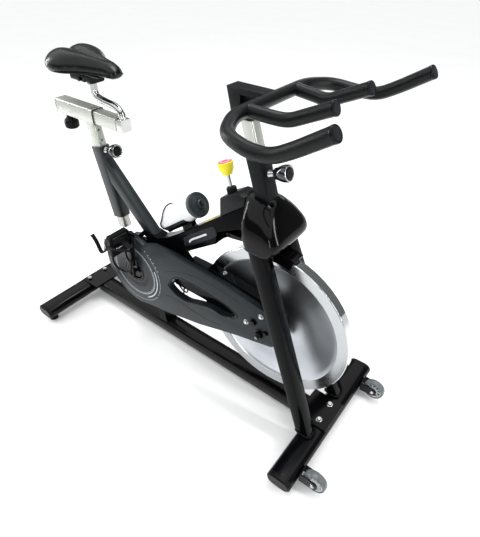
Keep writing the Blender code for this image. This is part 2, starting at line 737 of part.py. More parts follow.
def pedals():
    for side, word in ((-1, "right"), (1, "left")):
        arm = -side * Vector((math.cos(CRANK_ANGLE), 0, math.sin(CRANK_ANGLE)))
        tip = Vector((BB[0], 0, BB[1])) + arm * CRANK_LENGTH
        origin = (tip.x, side * 0.0885, tip.z)
        name = f"pedal_{word}"

        def at(x, y, z):
            return (tip.x + x, side * y, tip.z + z)

        outline = [(0.009, 0.036), (-0.009, 0.036), (-0.011, 0.026), (-0.011, -0.026), (-0.009, -0.036),
                   (0.009, -0.036), (0.011, -0.026), (0.011, 0.026)]
        rings = [[at(x * k, y, z * m) for x, z in outline]
                 for y, k, m in ((0.100, 0.8, 0.8), (0.104, 1, 1), (0.172, 1, 1), (0.178, 0.8, 0.85))]
        body = build(name, loft(rings), plastic_black(name), origin, 40)
        for z in (-0.0190, 0.0190):
            cut(body, prism([(tip.x - 0.03, tip.z + z - 0.0110), (tip.x + 0.03, tip.z + z - 0.0110),
                             (tip.x + 0.03, tip.z + z + 0.0110), (tip.x - 0.03, tip.z + z + 0.0110)],
                            *sorted((side * 0.1105, side * 0.1675))))
        join(body, rod(at(0, 0.0800, 0), at(0, 0.103, 0), 0.0070, 16))
        name = f"toe_clip_{word}"
        path = [at(-0.012, 0.112, -0.0375), at(-0.010, 0.112, -0.078), at(0.020, 0.118, -0.096),
                at(0.055, 0.125, -0.085), at(0.060, 0.128, -0.040)]
        clip = build(name, sweep(smooth_path(path, 0.015, 3), 0.0035, 8), plastic_black(name), origin, 50)
        path = [at(-0.012, 0.164, -0.0375), at(-0.010, 0.164, -0.078), at(0.020, 0.158, -0.096),
                at(0.055, 0.151, -0.085), at(0.060, 0.148, -0.040)]
        join(clip, sweep(smooth_path(path, 0.015, 3), 0.0035, 8),
             box(*sorted((tip.x - 0.014, tip.x - 0.006)), *sorted((side * 0.110, side * 0.166)),
                 tip.z - 0.0405, tip.z - 0.0365),
             box(tip.x + 0.056, tip.x + 0.063, *sorted((side * 0.126, side * 0.150)),
                 tip.z - 0.044, tip.z - 0.036),
             prism([(tip.x + 0.0565, tip.z - 0.040), (tip.x + 0.0600, tip.z - 0.040),
                    (tip.x + 0.062, tip.z + 0.006),
                    (tip.x + 0.0170, tip.z + 0.012), (tip.x + 0.0145, tip.z + 0.004),
                     (tip.x + 0.058, tip.z + 0.002)],
                   *sorted((side * 0.131, side * 0.145))))


# ---------------------------------------------------------------- seat

def seat():
    post = rounded(SEAT_POST[1], SEAT_POST[0], 0.006, 3)
    top = SLEEVE_LOW - GAP
    tube = build("seat_post", bar(on_seat(SEAT_POST_LOW), on_seat(top), post), chrome("seat_post"),
                 on_seat(SEAT_TOP), 40)
    cut(tube, box(-1.0, -0.5, -0.03, 0.03, top - 0.0005, top + 0.05))
    for z in (PIN_Z, PIN_Z + 0.032, PIN_Z + 0.064):
        face = Vector(on_seat(z)) + SEAT_ACROSS * (SEAT_POST[0] / 2)
        cut(tube, rod(face - SEAT_ACROSS * 0.008, face + SEAT_ACROSS * 0.01, 0.0045, 12))
    middle = (SLEEVE_LOW + SLEEVE_HIGH) / 2
    outer = rounded(0.046, SLEEVE_HIGH - SLEEVE_LOW, 0.006, 3)
    bore = rounded(0.039 + 2 * GAP, 0.040 + 2 * GAP, 0.004 + GAP, 3)
    sleeve = build("seat_sleeve", bar((-0.872, 0, middle), (-0.690, 0, middle), outer, bore),
                   steel_black("seat_sleeve"), smooth=40)
    cut(sleeve, rod((-0.700, 0, SLEEVE_HIGH - 0.0075), (-0.700, 0, SLEEVE_HIGH + 0.01), 0.012, 20),
        rod((-0.842, 0, SLEEVE_LOW - 0.01), (-0.842, 0, SLEEVE_LOW + 0.006), 0.0053, 12))
    inner = rounded(0.039, 0.040, 0.004, 3)
    tube = build("slider_tube", bar((-0.884, 0, middle), (-0.586, 0, middle), inner),
                 steel_black("slider_tube"),
                 (-0.872, 0, middle), 40)
    knob = [(0, 0.0499), (0.005, 0.0499), (0.005, 0.0425), (0.011, 0.042), (0.013, 0.034), (0.022, 0.026),
            (0.024, 0.018), (0.023, 0.004), (0.019, 0), (0, 0)]
    centre = (-0.842, 0, 0.745)
    build("slider_knob", lathe(knob, centre, (0, 0, 1), 24),
          plastic_black("slider_knob"), centre, 40)
    path = [(-0.575, 0, 0.8065), (-0.570, 0, 0.832), (-0.576, 0, 0.855), (-0.599, 0, 0.867),
            (-0.639, 0, 0.870),
            (-0.678, 0, 0.877), (-0.685, 0, 0.892), (-0.685, 0, 0.9085 + SADDLE_UP)]
    neck = build("swan_neck", sweep(smooth_path(path, 0.018, 2), 0.011, 14), chrome("swan_neck"),
                 (-0.872, 0, middle), 50)
    cut(neck, box(-0.64, -0.5857, -0.03, 0.03, 0.77, 0.8368))
    cover = rounded(0.037, 0.038, 0.003, 2)
    reach = Vector((0, 0.016, 0))
    join(neck, rod(Vector(SADDLE_TILT) - reach, Vector(SADDLE_TILT) + reach, 0.009, 20))
    join(neck, bar((-0.5857, 0, middle), (-0.5600, 0, middle), cover))
    clamp = rounded(0.054, 0.024, 0.006, 2)
    tilt = SADDLE_TILT
    piece = build("saddle_clamp", bar((-0.753, 0, 0.9245 + SADDLE_UP), (-0.663, 0, 0.9245 + SADDLE_UP),
                                      clamp), bare_steel("saddle_clamp"),
                  tilt, 40)
    cut(piece, rod(Vector(SADDLE_TILT) - reach * 2, Vector(SADDLE_TILT) + reach * 2, 0.0094, 20))
    join(piece, *(bar((-0.785, y, 0.933 + SADDLE_UP), (-0.620, y, 0.938 + SADDLE_UP), circle(0.0038, 8))
           for y in (-0.022, 0.022)),
         rod((-0.708, -0.032, 0.921 + SADDLE_UP), (-0.708, 0.032, 0.921 + SADDLE_UP), 0.006, 10))


def saddle():
    """Sections from the back to the nose: (x, half width, underside, top, crown, groove)."""
    sections = ((-0.812, 0.040, 0.962, 0.988, 0.012, 0.006), (-0.800, 0.072, 0.956, 0.998, 0.015, 0.008),
                (-0.775, 0.093, 0.953, 1.005, 0.018, 0.008), (-0.745, 0.097, 0.952, 1.004, 0.019, 0.007),
                (-0.715, 0.090, 0.952, 1.000, 0.018, 0.006), (-0.685, 0.070, 0.952, 0.996, 0.016, 0.005),
                (-0.655, 0.049, 0.952, 0.992, 0.013, 0.004), (-0.620, 0.036, 0.951, 0.988, 0.011, 0.002),
                (-0.590, 0.031, 0.950, 0.984, 0.010, 0.0), (-0.566, 0.027, 0.949, 0.978, 0.009, 0.0),
                (-0.554, 0.014, 0.951, 0.968, 0.006, 0.0))
    rings = []
    for x, half, low, top, crown, groove in sections:
        shape = ((0.0, -groove), (0.22, -groove * 0.3), (0.45, 0.0), (0.70, -crown * 0.35), (0.90, -crown),
                 (1.0, -crown * 1.7))
        upper = [(k * half, top + d) for k, d in shape]
        side = [(half * 0.98, low + 0.004), (half * 0.86, low)]
        right = [(-y, z) for y, z in reversed(upper[1:] + side)]
        rings.append([(x, y, z) for y, z in upper + side + right])
    build("saddle", loft(rings), material("saddle", (0.030, 0.032, 0.033), 0.42, 0.0), SADDLE_TILT, 60)


# ---------------------------------------------------------------- handlebar

def handlebar():
    outline = rounded(POST_SECTION[1], POST_SECTION[0], 0.006, 3)
    origin = on_head(HEAD_TOP)
    post = build("handlebar_post", bar(on_head(POST_LOW), on_head(POST_TOP + 0.006), outline),
                 chrome("handlebar_post"), origin, 40)
    cut(post, box(-0.30, 0.10, -0.03, 0.03, POST_TOP, POST_TOP + 0.03))
    for z in (0.780, 0.816):
        face = Vector(on_head(z)) + HEAD_ACROSS * (POST_SECTION[0] / 2)
        cut(post, rod(face - HEAD_ACROSS * 0.008, face + HEAD_ACROSS * 0.01, 0.0045, 12))
    side = [(-0.148, STEM_LOW), (-0.098, STEM_LOW), (-0.094, 0.968), (-0.052, 0.984), (-0.052, 1.013),
            (-0.164, 1.013)]
    stem = build("handlebar_stem", prism(side, -0.022, 0.022), powder_grey("handlebar_stem"), origin, 35)
    bevel(stem, 0.003)
    for sign in (-1, 1):
        pocket = [(-0.124, 0.969), (-0.096, 0.971), (-0.078, 0.985), (-0.078, 0.999), (-0.124, 0.999)]
        cut(stem, prism(pocket, *sorted((sign * 0.006, sign * 0.03))))
    cut(stem, rod((-0.052, -0.04, 1.0), (-0.052, 0.04, 1.0), 0.0153, 20))
    r = 0.015
    half = [(-0.052, 0.060, 1.000), (-0.052, 0.140, 1.000), (-0.016, 0.208, 0.993), (0.046, 0.222, 0.984),
            (0.096, 0.222, 0.986), (0.140, 0.222, 1.010), (0.211, 0.221, 1.056)]
    left = smooth_path(half, 0.045, 3)
    right = [Vector((p.x, -p.y, p.z)) for p in reversed(left)]
    path = right + left
    bar_piece = build("handlebar", sweep(path, r, 12), rubber("handlebar"), origin, 60)
    for sign in (-1, 1):
        horn = [(-0.048, sign * 0.092, 1.000), (0.000, sign * 0.088, 0.997), (0.040, sign * 0.080, 0.995),
                (0.137, sign * 0.0765, 1.041)]
        join(bar_piece, sweep(smooth_path(horn, 0.04, 3), r * 0.98, 12))


# ---------------------------------------------------------------- brake

def shroud_ring(z, rear, front, half):
    outline = rounded(front - rear, 2 * half, min(0.018, (front - rear) * 0.4), 4)
    return [((front + rear) / 2 + a, b, z) for a, b in outline]


def shroud():
    levels = ((0.640, -0.068, 0.026, 0.0875), (0.662, -0.077, 0.040, 0.0870),
              (0.690, -0.084, 0.034, 0.0845),
              (0.715, -0.090, 0.020, 0.077), (0.740, -0.096, 0.004, 0.064), (0.758, -0.101, -0.012, 0.050))
    wall = 0.0025
    outer = [shroud_ring(*level) for level in levels]
    inner = [shroud_ring(z - (wall if i == len(levels) - 1 else 0), rear + wall, front - wall, half - wall)
             for i, (z, rear, front, half) in enumerate(levels)]
    inner[0] = [(x, y, z - 0.010) for x, y, z in inner[0]]
    shell = build("fork_shroud", loft(outer), material("fork_shroud", (0.008, 0.008, 0.010), 0.08, 0.0),
                  smooth=30)
    cut(shell, loft(inner), bar(on_head(0.60), on_head(0.90), rounded(0.0492, 0.0472, 0.008, 3)))
    slot = [(-0.14, 0.60), (head_centre(0.60), 0.60), (head_centre(0.80), 0.80), (-0.14, 0.80)]
    cut(shell, prism(slot, -0.0256, 0.0256))


def brake():
    outline = [(-0.182, 0.665), (-0.097, 0.7295), (-0.097, 0.752), (-0.130, 0.752), (-0.182, 0.722)]
    slope = (0.725 - 0.535) / 0.250
    outline[0] = (-0.182, 0.535 + slope * (0.350 - 0.182) + GAP * 1.5)
    outline[1] = (-0.0985, 0.535 + slope * (0.350 - 0.0985) + GAP * 1.5)
    outline[2] = (-0.0985, 0.752)
    housing = build("brake_housing", prism(outline, -0.030, 0.030), plastic_grey("brake_housing"),
                    smooth=35)
    bevel(housing, 0.004)
    foot = BRAKE_ROD_TOP - BRAKE_AXIS * 0.0566
    join(housing, rod(foot - BRAKE_AXIS * 0.01, foot + BRAKE_AXIS * 0.022, 0.013, 20))
    cut(housing, rod(foot - BRAKE_AXIS * 0.09, foot + BRAKE_AXIS * 0.05, 0.0055, 16))
    top = BRAKE_ROD_TOP
    knob = [(0, 0.0), (0.013, 0.0), (0.015, 0.006), (0.019, 0.012), (0.021, 0.026),
            (0.021, 0.032), (0.017, 0.035), (0, 0.036)]
    stem = [(0, -0.150), (0.005, -0.150), (0.005, -GAP), (0, -GAP)]
    build("tension_rod", lathe(stem, top, BRAKE_AXIS, 16), chrome("tension_rod"), top, 40)
    build("tension_knob", lathe(knob, top, BRAKE_AXIS, 28),
          material("tension_knob", (0.85, 0.68, 0.05), 0.35, 0.0),
          top, 40)
    a0, a1 = PAD_ARC
    pivot = (BRAKE_PIVOT[0], 0, BRAKE_PIVOT[1])
    build("brake_pad", arc_block(*PAD_R, a0, a1, -0.014, 0.014, 8), rubber("brake_pad"), pivot, 30)
    arm = build("brake_arm", arc_block(*SHOE_R, a0, a1, -0.0215, 0.0215, 8), bare_steel("brake_arm"),
                pivot, 30)
    for side in (-1, 1):
        low, high = sorted((side * 0.0185, side * 0.0215))
        join(arm, arc_block(0.232, 0.2660, a0 + 0.01, a1 - 0.01, low, high, 8))
    lever = arc(0.2662, math.radians(8), math.radians(-22), 8)
    lever += [(-0.150, 0.5945), (-0.172, 0.5925), (-0.173, 0.6055), (-0.150, 0.6085)]
    lever += arc(0.2716, math.radians(-20), math.radians(8), 8)
    join(arm, prism(lever, -0.012, 0.012))
    reach = Vector((0, 0.03, 0))
    cut(arm, rod(Vector(pivot) - reach, Vector(pivot) + reach, 0.0044, 12))


# ---------------------------------------------------------------- bottle

def bottle():
    axis = BOTTLE_AXIS
    front = BOTTLE_FRONT
    rear = front - axis * 0.185
    body = [(0, 0), (0.030, 0), (BOTTLE_R, 0.006), (BOTTLE_R, 0.125), (0.031, 0.140),
            (BOTTLE_R - 0.001, 0.155),
            (BOTTLE_R - 0.001, 0.1655), (0, 0.1655)]
    build("bottle", lathe(body, rear, axis, 32), material("bottle", (0.86, 0.87, 0.88), 0.3, 0.0), front,
          40)
    cap = [(0, 0.1658), (0.0385, 0.1658), (0.0385, 0.180), (0.034, 0.1845), (0.016, 0.186), (0.014, 0.192),
           (0.010, 0.194), (0.009, 0.204), (0, 0.205)]
    build("bottle_cap", lathe(cap, rear, axis, 32), plastic_grey("bottle_cap"), front, 40)
    cradle = []
    for a in range(9):
        t = math.radians(-60 + 15 * a)
        cradle.append(((BOTTLE_R + 0.0006) * math.sin(t), -(BOTTLE_R + 0.0006) * math.cos(t)))
    for a in reversed(range(9)):
        t = math.radians(-60 + 15 * a)
        cradle.append(((BOTTLE_R + 0.0036) * math.sin(t), -(BOTTLE_R + 0.0036) * math.cos(t)))
    side = Vector((0, 1, 0))
    up = axis.cross(side)
    if up.z < 0:
        up = -up
    rings = [place(cradle, rear + axis * reach, side, up) for reach in (0.010, 0.120)]
    cage = build("bottle_cage", loft(rings), steel_black("bottle_cage"), smooth=40)
    join(cage, prism([(-0.345, 0.5392), (-0.305, 0.5696), (-0.312, 0.5825), (-0.350, 0.5537)], -0.010,
                     0.010))

    def around(reach, turn):
        """A point on the wire's skin round the bottle. turn runs from 0 below the bottle to 180 on top."""
        a = math.radians(turn)
        return rear + axis * reach + (side * math.sin(a) - up * math.cos(a)) * (BOTTLE_R + 0.0038)

    hoop = [(0.016, 50), (0.011, 64), (0.011, 78), (0.018, 90), (0.030, 100), (0.038, 112), (0.043, 125),
            (0.046, 138), (0.0475, 152), (0.048, 166), (0.048, 180)]
    path = [around(reach, turn) for reach, turn in hoop]
    path += [around(reach, -turn) for reach, turn in reversed(hoop[:-1])]
    join(cage, sweep(path, 0.0022, 6))
    for sign in (-1, 1):
        path = [around(0.020, sign * 21), around(-0.0034, sign * 21),
                rear - axis * 0.0030 - up * 0.016 + side * sign * 0.014]
        join(cage, sweep(smooth_path(path, 0.008, 2), 0.0019, 6))



def main():
    clear_scene()
    stabilisers()
    levelling_feet()
    transport_wheels()
    base_beam()
    fork_legs()
    head_tube()
    pop_pins()
    upper_beam()
    mid_beam()
    brace_tube()
    seat_tube()
    stays()
    riser()
    belt_guard()
    flywheel()
    belt()
    crank_set()
    pedals()
    seat()
    saddle()
    handlebar()
    shroud()
    brake()
    bottle()


main()
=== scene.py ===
"""Looks of the indoor spin bike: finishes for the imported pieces, the saddle and the added small hardware."""

import math

import bpy
import numpy as np
from mathutils import Matrix, Vector


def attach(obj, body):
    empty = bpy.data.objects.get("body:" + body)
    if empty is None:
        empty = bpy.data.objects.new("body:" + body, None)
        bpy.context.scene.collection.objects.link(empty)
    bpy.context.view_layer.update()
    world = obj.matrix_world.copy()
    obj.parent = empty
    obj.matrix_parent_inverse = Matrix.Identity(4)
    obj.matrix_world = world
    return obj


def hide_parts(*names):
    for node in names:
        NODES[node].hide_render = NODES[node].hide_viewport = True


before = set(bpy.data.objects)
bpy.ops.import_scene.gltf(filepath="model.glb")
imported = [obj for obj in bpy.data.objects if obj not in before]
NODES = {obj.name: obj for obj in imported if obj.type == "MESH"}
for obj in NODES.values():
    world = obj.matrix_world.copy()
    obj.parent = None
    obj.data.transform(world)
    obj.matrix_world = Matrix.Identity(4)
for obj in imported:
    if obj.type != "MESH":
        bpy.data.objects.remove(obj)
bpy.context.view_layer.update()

# Shapes are given in metres with x measured from the flywheel axle. at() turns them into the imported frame.
AXLE = Vector((0.305, 0.0, 0.356))
CRANK = Vector((-0.233, 0.0, 0.328))
SIDES = ((-1, "right"), (1, "left"))


def at(x, y, z):
    return Vector((x + AXLE.x, y, z))


KNOB_AXIS = Vector((-0.300, 0, 0.954)).normalized()
KNOB_FOOT = at(-0.176, 0, 0.782)
KNOB_RED_FROM = 0.0335  # height along the axis at which the cup's red top starts
GUARD_FACE = -0.0741  # y just outside the guard's outer face, where its trim sits
SLIDE_HEIGHT = 0.8165  # middle of the saddle's sliding tube
PANEL_LIFT = 0.0274  # half width of the upper beam with its side panels
CHANNEL_DEPTH = 0.0045
MOST_PUFF = 0.0045
PUFF_FRAMES = 20


# ---------------------------------------------------------------- camera, floor and light

LENS = 29.81
CAMERA_RIGHT = Vector((0.7946, 0.6069, 0.0140))
CAMERA_UP = Vector((-0.3871, 0.4888, 0.7819))
CAMERA_AHEAD = Vector((-0.4677, 0.6267, -0.6233))
CAMERA_PLACE = at(0.486, -0.8274, 1.3121)
SKY_ENERGY, SKY_ANGLE = 2.7, 110
WORLD_COLOUR, WORLD_STRENGTH = (0.96, 0.98, 1, 1), 0.20
FLOOR_HALF = 40


def camera():
    data = bpy.data.cameras.new("camera")
    data.sensor_width = 36
    data.lens = LENS
    data.clip_end = 50
    obj = bpy.data.objects.new("camera", data)
    turn = Matrix((CAMERA_RIGHT, CAMERA_UP, -CAMERA_AHEAD)).transposed().to_4x4()
    obj.matrix_world = Matrix.Translation(CAMERA_PLACE) @ turn
    bpy.context.scene.collection.objects.link(obj)
    bpy.context.scene.camera = obj


def area(name, place, target, size, power):
    data = bpy.data.lights.new(name, "AREA")
    data.shape = "RECTANGLE"
    data.size, data.size_y = size
    data.energy = power
    obj = bpy.data.objects.new(name, data)
    obj.location = place
    obj.rotation_euler = (Vector(target) - Vector(place)).to_track_quat("-Z", "Y").to_euler()
    bpy.context.scene.collection.objects.link(obj)


def studio():
    area("overhead", (0.1, 0.5, 2.7), (0, 0, 0.4), (1.5, 0.7), 30)
    area("left_strip", (-2.7, -0.7, 1.3), (-0.2, 0, 0.5), (0.25, 1.9), 40)
    area("front_strip", (2.4, 0.3, 1.6), (0.2, 0, 0.5), (0.2, 1.9), 30)
    area("near_strip", (0.9, -2.8, 1.0), (0.0, 0, 0.5), (0.14, 1.5), 14)
    area("back_strip", (-0.4, 2.6, 1.5), (0, 0, 0.6), (1.6, 0.3), 5)
    data = bpy.data.lights.new("sky", "SUN")
    data.energy = SKY_ENERGY
    data.angle = math.radians(SKY_ANGLE)
    sun = bpy.data.objects.new("sky", data)
    sun.rotation_euler = (math.radians(10), math.radians(-12), 0)
    bpy.context.scene.collection.objects.link(sun)
    world = bpy.data.worlds.new("studio")
    world.use_nodes = True
    background = world.node_tree.nodes["Background"]
    background.inputs["Color"].default_value = WORLD_COLOUR
    background.inputs["Strength"].default_value = WORLD_STRENGTH
    bpy.context.scene.world = world
    bpy.context.scene.view_settings.view_transform = "Standard"


def floor():
    mesh = bpy.data.meshes.new("floor")
    corners = [(x * FLOOR_HALF, y * FLOOR_HALF, 0) for x, y in ((-1, -1), (1, -1), (1, 1), (-1, 1))]
    mesh.from_pydata(corners, [], [(0, 1, 2, 3)])
    obj = bpy.data.objects.new("floor", mesh)
    bpy.context.scene.collection.objects.link(obj)
    mesh.materials.append(finish("floor", (0.95, 0.95, 0.95), 0.7, spread=0.01, scale=3))


# ---------------------------------------------------------------- materials

class Tree:
    """Short calls for a material's nodes."""

    def __init__(self, name):
        self.material = bpy.data.materials.new(name)
        self.material.use_nodes = True
        self.nodes = self.material.node_tree.nodes
        self.links = self.material.node_tree.links
        self.shader = self.nodes["Principled BSDF"]
        self.where = self.nodes.new("ShaderNodeTexCoord").outputs["Object"]

    def add(self, kind, inputs=(), **settings):
        node = self.nodes.new(kind)
        for key, value in settings.items():
            setattr(node, key, value)
        for key, value in dict(inputs).items():
            if isinstance(value, bpy.types.NodeSocket):
                self.links.new(value, node.inputs[key])
            else:
                node.inputs[key].default_value = value
        return node

    def noise(self, scale, detail=4.0, stretch=(1, 1, 1)):
        place = self.add("ShaderNodeMapping", {"Vector": self.where, "Scale": stretch})
        return self.add("ShaderNodeTexNoise", {"Vector": place.outputs[0], "Scale": scale,
                                               "Detail": detail}).outputs["Fac"]

    def spread(self, value, low, high, start=0.3, end=0.7):
        return self.add("ShaderNodeMapRange", {"Value": value, "From Min": start, "From Max": end,
                                               "To Min": low, "To Max": high}).outputs[0]

    def math(self, operation, a, b=0.0):
        return self.add("ShaderNodeMath", {0: a, 1: b}, operation=operation).outputs[0]

    def mix(self, factor, a, b):
        node = self.add("ShaderNodeMix", data_type="RGBA")
        for key, value in ((0, factor), (6, a), (7, b)):
            if isinstance(value, bpy.types.NodeSocket):
                self.links.new(value, node.inputs[key])
            elif key == 0:
                node.inputs[key].default_value = value
            else:
                node.inputs[key].default_value = (*value, 1.0)
        return node.outputs[2]

    def to(self, socket, value):
        self.links.new(value, self.shader.inputs[socket])

    def soft_edges(self, radius):
        return self.add("ShaderNodeBevel", {"Radius": radius}, samples=4).outputs[0]

    def relief(self, height, strength, depth, normal):
        bump = self.add("ShaderNodeBump", {"Height": height, "Strength": strength, "Distance": depth,
                                           "Normal": normal})
        self.to("Normal", bump.outputs[0])

    def from_axle(self, centre):
        """How far a point is from a sideways axle through the centre, forwards, upwards and in all."""
        split = self.add("ShaderNodeSeparateXYZ", {0: self.where})
        dx = self.math("SUBTRACT", split.outputs[0], centre.x)
        dz = self.math("SUBTRACT", split.outputs[2], centre.z)
        squares = self.math("ADD", self.math("MULTIPLY", dx, dx), self.math("MULTIPLY", dz, dz))
        return dx, dz, self.math("SQRT", squares)


def finish(name, colour, rough, metal=0.0, coat=0.0, spread=0.12, scale=14.0, grain=420.0, bump=0.05,
           depth=0.0004, stretch=(1, 1, 1), rough_spread=0.10, edge=None, edge_radius=0.0012, shine=0.12):
    """A finish with soft colour drift, uneven roughness, fine grain and rounded edges lightened in patches."""
    tree = Tree(name)
    drift = tree.noise(scale)
    dark = tuple(c * (1 - spread) for c in colour)
    light = tuple(min(1.0, c * (1 + spread)) for c in colour)
    tint = tree.mix(tree.spread(drift, 0.0, 1.0), dark, light)
    fine = tree.noise(grain, 3.0, stretch)
    tree.to("Roughness", tree.spread(fine, max(0.02, rough * (1 - rough_spread)), rough * (1 + rough_spread)))
    soft = tree.soft_edges(edge_radius)
    # Rounded edges are lightened in patches with the edge colour.
    if edge is not None:
        geometry = tree.add("ShaderNodeNewGeometry")
        turn = tree.add("ShaderNodeVectorMath", {0: soft, 1: geometry.outputs["Normal"]},
                        operation="DOT_PRODUCT")
        tint_mask = tree.spread(turn.outputs["Value"], 1.0, 0.0, 0.80, 0.99)
        patchy = tree.math("MULTIPLY", tint_mask, tree.spread(tree.noise(60.0), 0.1, 0.9))
        tint = tree.mix(patchy, tint, edge)
    tree.to("Base Color", tint)
    tree.relief(fine, bump, depth, soft)
    tree.shader.inputs["Metallic"].default_value = metal
    tree.shader.inputs["Coat Weight"].default_value = coat
    tree.shader.inputs["Coat Roughness"].default_value = 0.08
    tree.shader.inputs["Specular IOR Level"].default_value = 0.5 if metal else shine
    return tree.material


def guard_finish():
    """Moulded guard: satin slate plastic with printed rings round the crank."""
    tree = Tree("guard")
    base = tree.mix(tree.spread(tree.noise(9.0), 0.0, 1.0), (0.0080, 0.0120, 0.0150), (0.0135, 0.0190, 0.0230))
    dx, dz, radius = tree.from_axle(CRANK)
    rings = None
    for ring_radius, half, broken in ((0.0990, 0.0011, False), (0.0940, 0.0005, False), (0.1250, 0.0006, True)):
        away = tree.math("ABSOLUTE", tree.math("SUBTRACT", radius, ring_radius))
        here = tree.math("LESS_THAN", away, half)
        if broken:  # the outer ring is left open above and behind the crank
            angle = tree.math("ARCTAN2", dz, dx)
            here = tree.math("MULTIPLY", here, tree.math("LESS_THAN", angle, 0.9))
        rings = here if rings is None else tree.math("MAXIMUM", rings, here)
    tint_mask = tree.math("MULTIPLY", rings, tree.spread(tree.noise(160.0), 0.55, 0.95))
    tree.to("Base Color", tree.mix(tint_mask, base, (0.62, 0.66, 0.70)))
    fine = tree.noise(900.0, 2.0)
    tree.relief(fine, 0.10, 0.0003, tree.soft_edges(0.002))
    tree.to("Roughness", tree.spread(fine, 0.30, 0.42))
    tree.shader.inputs["Specular IOR Level"].default_value = 0.20
    return tree.material


def flywheel_finish():
    """Polished rim, satin side ring and a turned inner disc."""
    tree = Tree("flywheel")
    radius = tree.from_axle(AXLE)[2]
    place = tree.add("ShaderNodeMapping", {"Vector": tree.where, "Location": (-AXLE.x, 0, -AXLE.z)})
    grooves = tree.add("ShaderNodeTexWave", {"Vector": place.outputs[0], "Scale": 110.0, "Distortion": 0.4,
                                             "Detail": 2.0}, wave_type="RINGS", rings_direction="Y")
    rim = tree.math("GREATER_THAN", radius, 0.2496)
    ring = tree.math("GREATER_THAN", radius, 0.2150)
    disc = tree.mix(tree.spread(tree.noise(5.0), 0.0, 1.0), (0.42, 0.45, 0.48), (0.58, 0.61, 0.64))
    sides = tree.mix(ring, disc, (0.47, 0.49, 0.50))
    tree.to("Base Color", tree.mix(rim, sides, (0.60, 0.62, 0.62)))
    smoother_ring = tree.math("MULTIPLY", ring, -0.10)
    smoother_rim = tree.math("MULTIPLY", rim, -0.17)
    fine = tree.spread(tree.noise(700.0, 2.0), 0.28, 0.36)
    tree.to("Roughness", tree.math("ADD", tree.math("ADD", fine, smoother_ring), smoother_rim))
    tree.shader.inputs["Metallic"].default_value = 1.0
    tree.relief(grooves.outputs["Fac"], 0.03, 0.0003, tree.soft_edges(0.0015))
    return tree.material


def knob_finish():
    """Yellow cup with a red disc on its top."""
    tree = Tree("tension_knob")
    from_foot = tree.add("ShaderNodeVectorMath", {0: tree.where, 1: tuple(KNOB_FOOT)}, operation="SUBTRACT")
    height = tree.add("ShaderNodeVectorMath", {0: from_foot.outputs[0], 1: tuple(KNOB_AXIS)},
                      operation="DOT_PRODUCT")
    top = tree.math("GREATER_THAN", height.outputs["Value"], KNOB_RED_FROM)
    yellow = tree.mix(tree.spread(tree.noise(40.0), 0.0, 1.0), (0.88, 0.74, 0.005), (0.97, 0.86, 0.015))
    sideways = tree.add("ShaderNodeVectorMath", {0: from_foot.outputs[0], 1: tuple(KNOB_AXIS)},
                        operation="CROSS_PRODUCT")
    reach = tree.add("ShaderNodeVectorMath", {0: sideways.outputs[0]}, operation="LENGTH").outputs["Value"]
    band = tree.math("LESS_THAN", tree.math("ABSOLUTE", tree.math("SUBTRACT", reach, 0.0115)), 0.0016)
    red = tree.mix(band, (0.74, 0.07, 0.16), (0.90, 0.62, 0.62))
    tree.to("Base Color", tree.mix(top, yellow, red))
    tree.to("Roughness", tree.spread(tree.noise(500.0), 0.28, 0.40))
    tree.to("Normal", tree.soft_edges(0.0015))
    return tree.material


def leather():
    """Glossy black cover with a fine cell grain."""
    tree = Tree("saddle_cover")
    tint = tree.mix(tree.spread(tree.noise(22.0), 0.0, 1.0), (0.0015, 0.0020, 0.0020), (0.0040, 0.0050, 0.0045))
    tree.to("Base Color", tint)
    cells = tree.add("ShaderNodeTexVoronoi", {"Vector": tree.where, "Scale": 900.0},
                     feature="DISTANCE_TO_EDGE").outputs["Distance"]
    creases = tree.spread(cells, 0.0, 1.0, 0.0, 0.25)
    relief = tree.add("ShaderNodeBump", {"Height": creases, "Strength": 0.09, "Distance": 0.0004})
    tree.to("Normal", relief.outputs[0])
    tree.to("Roughness", tree.spread(tree.noise(70.0), 0.21, 0.30))
    tree.shader.inputs["Coat Weight"].default_value = 0.10
    tree.shader.inputs["Specular IOR Level"].default_value = 0.22
    return tree.material


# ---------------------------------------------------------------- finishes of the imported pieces

WELD = 0.00002


def paint(names, material, angle=32):
    """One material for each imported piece, with smooth shading split at its sharp edges."""
    for name in names:
        obj = NODES[name]
        while len(obj.data.materials) > 1:
            obj.data.materials.pop()
        if obj.data.materials:
            obj.material_slots[0].material = material
        else:
            obj.data.materials.append(material)
        obj.data.polygons.foreach_set("use_smooth", [True] * len(obj.data.polygons))
        merge = obj.modifiers.new("weld", "WELD")
        merge.merge_threshold = WELD
        split = obj.modifiers.new("split", "EDGE_SPLIT")
        split.split_angle = math.radians(angle)


